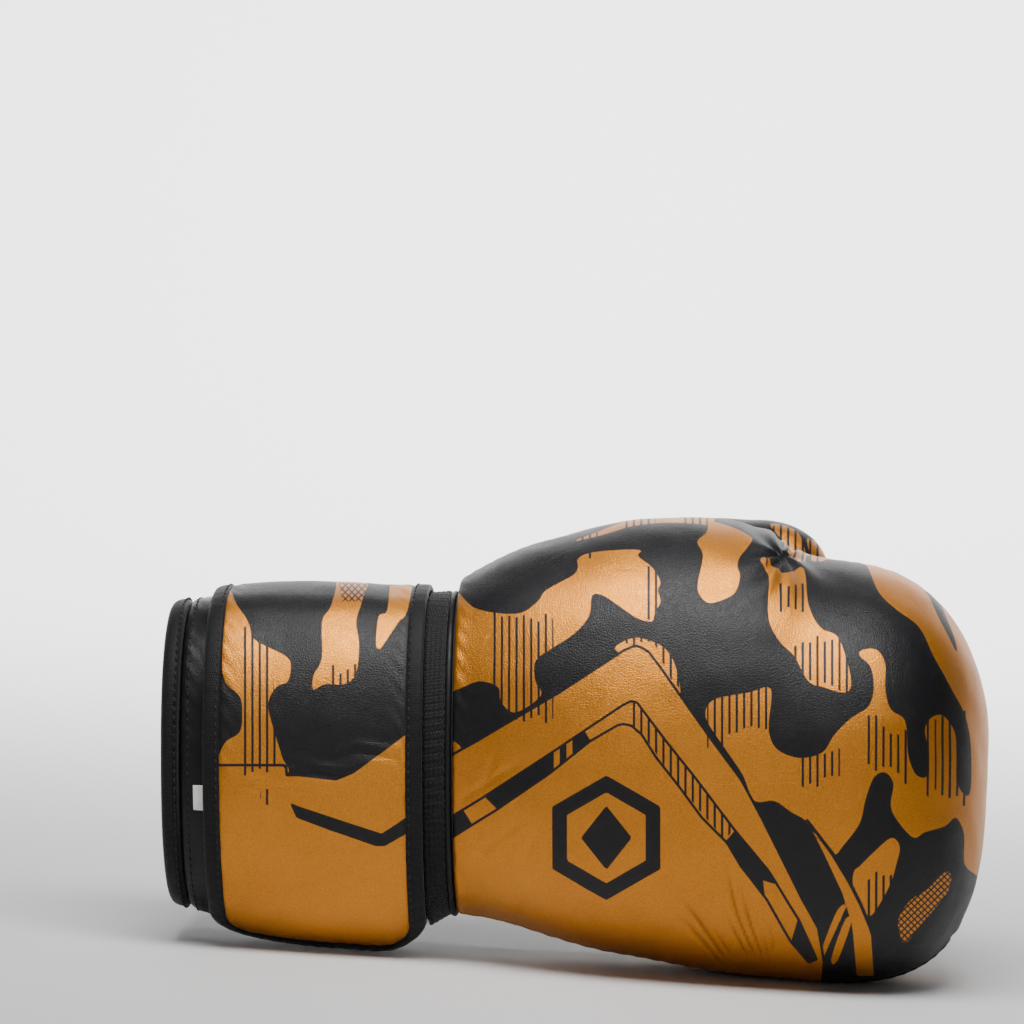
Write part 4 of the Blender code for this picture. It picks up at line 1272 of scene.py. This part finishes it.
def stitch_line(places, outs, pitch=3.1, length=2.3, radius=0.34):
    """Points and faces of a row of stitches along a path, each a short thread that dips in at both ends."""
    places = np.asarray(places, float)
    run = run_along(places)
    starts = np.arange(pitch * 0.3, run[-1] - length, pitch)
    points = []
    faces = []
    t = np.arange(6) / 6 * 2 * np.pi
    for start in starts:
        s = start + length * np.linspace(0, 1, 5)
        centre = np.stack([np.interp(s, run, places[:, k]) for k in range(3)], -1)
        out = np.stack([np.interp(s, run, outs[:, k]) for k in range(3)], -1)
        out = out / np.linalg.norm(out, axis=1, keepdims=True)
        along = np.gradient(centre, axis=0)
        along = along / np.linalg.norm(along, axis=1, keepdims=True)
        side = np.cross(along, out)
        centre = centre + out * (0.16 - 0.42 * np.abs(np.linspace(-1, 1, 5)) ** 2)[:, None]
        thick = radius * np.array([0.55, 0.95, 1.0, 0.95, 0.55])
        ring = centre[:, None] + thick[:, None, None] * (
            np.cos(t)[None, :, None] * out[:, None] + np.sin(t)[None, :, None] * side[:, None])
        first = sum(len(p) for p in points)
        points.append(ring.reshape(-1, 3))
        for near in range(first, first + 24, 6):
            for j in range(6):
                k = (j + 1) % 6
                faces.append([near + j, near + 6 + j, near + 6 + k, near + k])
        faces.append([first + j for j in range(6)])
        faces.append([first + 24 + j for j in range(5, -1, -1)])
    return np.concatenate(points), faces


def add_stitches(name, rows, slot="tape"):
    points = []
    faces = []
    for places, outs in rows:
        more, shapes = stitch_line(places, outs)
        first = sum(len(p) for p in points)
        points.append(more)
        faces += [[first + k for k in shape] for shape in shapes]
    return add_mesh(name, np.concatenate(points), faces, THREAD, slot)


def on_skin(thing, places):
    """A path laid on a piece's surface, with the direction out of it at each point."""
    found = [thing.closest_point_on_mesh(Vector(place * MM)) for place in places]
    return np.array([hit[1] for hit in found]) / MM, np.array([hit[2] for hit in found])


def cuff_row(x, low, high, height):
    vs = np.linspace(low, high, 300)
    x = np.full(vs.shape, float(x))
    out = off_cuff(x, vs, np.ones(300)) - off_cuff(x, vs, np.zeros(300))
    return off_cuff(x, vs, np.full(vs.shape, height)), out


def strap_row(line, height):
    a = on_strap(line[:, 0], line[:, 1], height)
    return a, on_strap(line[:, 0], line[:, 1], height + 1.0) - a


def build_stitches(roll, outer, inner, skin, anchor):
    bpy.context.view_layer.update()
    rows = [cuff_row(HEM_X + 5.2, SLIT_SPAN[0] + 1, SLIT_SPAN[1] - 1, 0.72)]
    vs = np.linspace(SLIT_SPAN[0] + 2, SLIT_SPAN[1] - 2, 260)
    rows.append(on_skin(skin, off_cuff(np.full(260, HEM_IN + 3.0), vs, np.zeros(260))))
    for v in (SLIT_SPAN[0] + 4.5, SLIT_SPAN[1] - 4.5):
        xs = np.linspace(HEM_IN + 4, SLIT_END_X, 60)
        rows.append(on_skin(skin, off_cuff(xs, np.full(60, v), np.zeros(60))))
    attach(add_stitches("cuff_stitches", rows), "glove")

    rows = [on_skin(roll, stack(hand_outside, np.full(120, 0.445), np.linspace(200, 350, 120)))]
    for thing, v in ((outer, 89.0), (outer, -89.0), (inner, 104.0), (inner, 256.0)):
        low = 0.43 if v == 104.0 else 0.1
        rows.append(on_skin(thing, stack(thumb_outside, np.linspace(low, 0.86, 90), np.full(90, v))))
    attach(add_stitches("hand_seam_stitches", rows, "black"), "glove")

    made = add_stitches("strap_flap_stitches", [strap_row(flap_edge(4.7, SPLIT_ARC), 3.36)])
    bend_at_fold(made)
    rows = [strap_row(side_edge(4.7, ANCHOR_ARC + 1, SPLIT_ARC, right), 3.36) for right in (False, True)]
    bend_at_anchor(add_stitches("strap_wrap_stitches", rows))

    low, high = ANCHOR - 7.8, ANCHOR - 2.0
    left, right = STRAP_X[0] + 2.5, STRAP_X[1] - 2.5
    rows = []
    for x1, v1, x2, v2 in ((left, low, right, low), (left, high, right, high), (left, low, left, high),
                           (right, low, right, high), (left, low, right, high), (left, high, right, low)):
        row = off_cuff(np.linspace(x1, x2, 60), np.linspace(v1, v2, 60), np.full(60, STRAP_TOP))
        rows.append(on_skin(anchor, row))
    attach(add_stitches("strap_anchor_stitches", rows, "black"), "glove")


# ---- Room, light and camera ----

def build_room():
    arc = np.linspace(0, np.pi / 2, 24)
    profile = [(-2500.0, 0.0)]
    profile += [(1400 + 700 * np.sin(t), 700 - 700 * np.cos(t)) for t in arc]
    profile += [(2100.0, 3000.0)]
    points = [[(x, y, z - 0.2) for y, z in profile] for x in (-3000.0, 3000.0)]
    f = Finish("paper", Roughness=0.9)
    f.link("Base Color", f.mix(f.noise(3.0), (0.56, 0.56, 0.56, 1), (0.58, 0.58, 0.58, 1)))
    floor = add_mesh("studio_sweep", np.array(points), grid_faces(2, len(profile), flip=True),
                     f.material, "label")


def add_light(name, place, size, power, aim=(0.0, 0.0, 0.08), spread=180.0):
    light = bpy.data.lights.new(name, "AREA")
    light.shape = "RECTANGLE"
    light.size, light.size_y = size
    light.energy = power
    light.spread = np.radians(spread)
    thing = bpy.data.objects.new(name, light)
    thing.location = place
    thing.rotation_euler = (Vector(place) - Vector(aim)).to_track_quat("Z", "Y").to_euler()
    bpy.context.scene.collection.objects.link(thing)


def build_lights():
    add_light("top_softbox", (0.0, -0.24, 0.50), (0.5, 0.22), 3.7, spread=140.0)
    add_light("front_fill", (0.1, -1.7, 0.55), (1.4, 1.0), 0.6, spread=60.0)
    add_light("back_wash", (0.0, 0.9, 1.6), (2.4, 0.8), 150.0, (0.0, 1.9, 0.4), 140.0)
    world = bpy.data.worlds.new("studio")
    world.use_nodes = True
    world.node_tree.nodes["Background"].inputs["Color"].default_value = (1, 1, 1, 1)
    world.node_tree.nodes["Background"].inputs["Strength"].default_value = 0.01
    bpy.context.scene.world = world


def build_camera():
    camera = bpy.data.cameras.new("camera")
    camera.lens = 160.0
    camera.sensor_width = 36.0
    camera.clip_end = 20.0
    thing = bpy.data.objects.new("camera", camera)
    axes = Matrix((EYE_RIGHT, EYE_UP, EYE_BACK)).transposed().to_4x4()
    thing.matrix_world = Matrix.Translation(Vector((AIM + EYE_BACK * EYE_DISTANCE) * MM)) @ axes
    bpy.context.scene.collection.objects.link(thing)
    bpy.context.scene.camera = thing


def dress_foam():
    for name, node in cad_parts.items():
        if name.endswith("_foam"):
            node.data.materials[0] = FOAM


roll = build_hand()
outer, inner = build_thumb()
skin = build_cuff()
build_linings()
anchor = build_strap()
build_fasteners()
build_stitches(roll, outer, inner, skin, anchor)
dress_foam()
build_room()
build_lights()
build_camera()
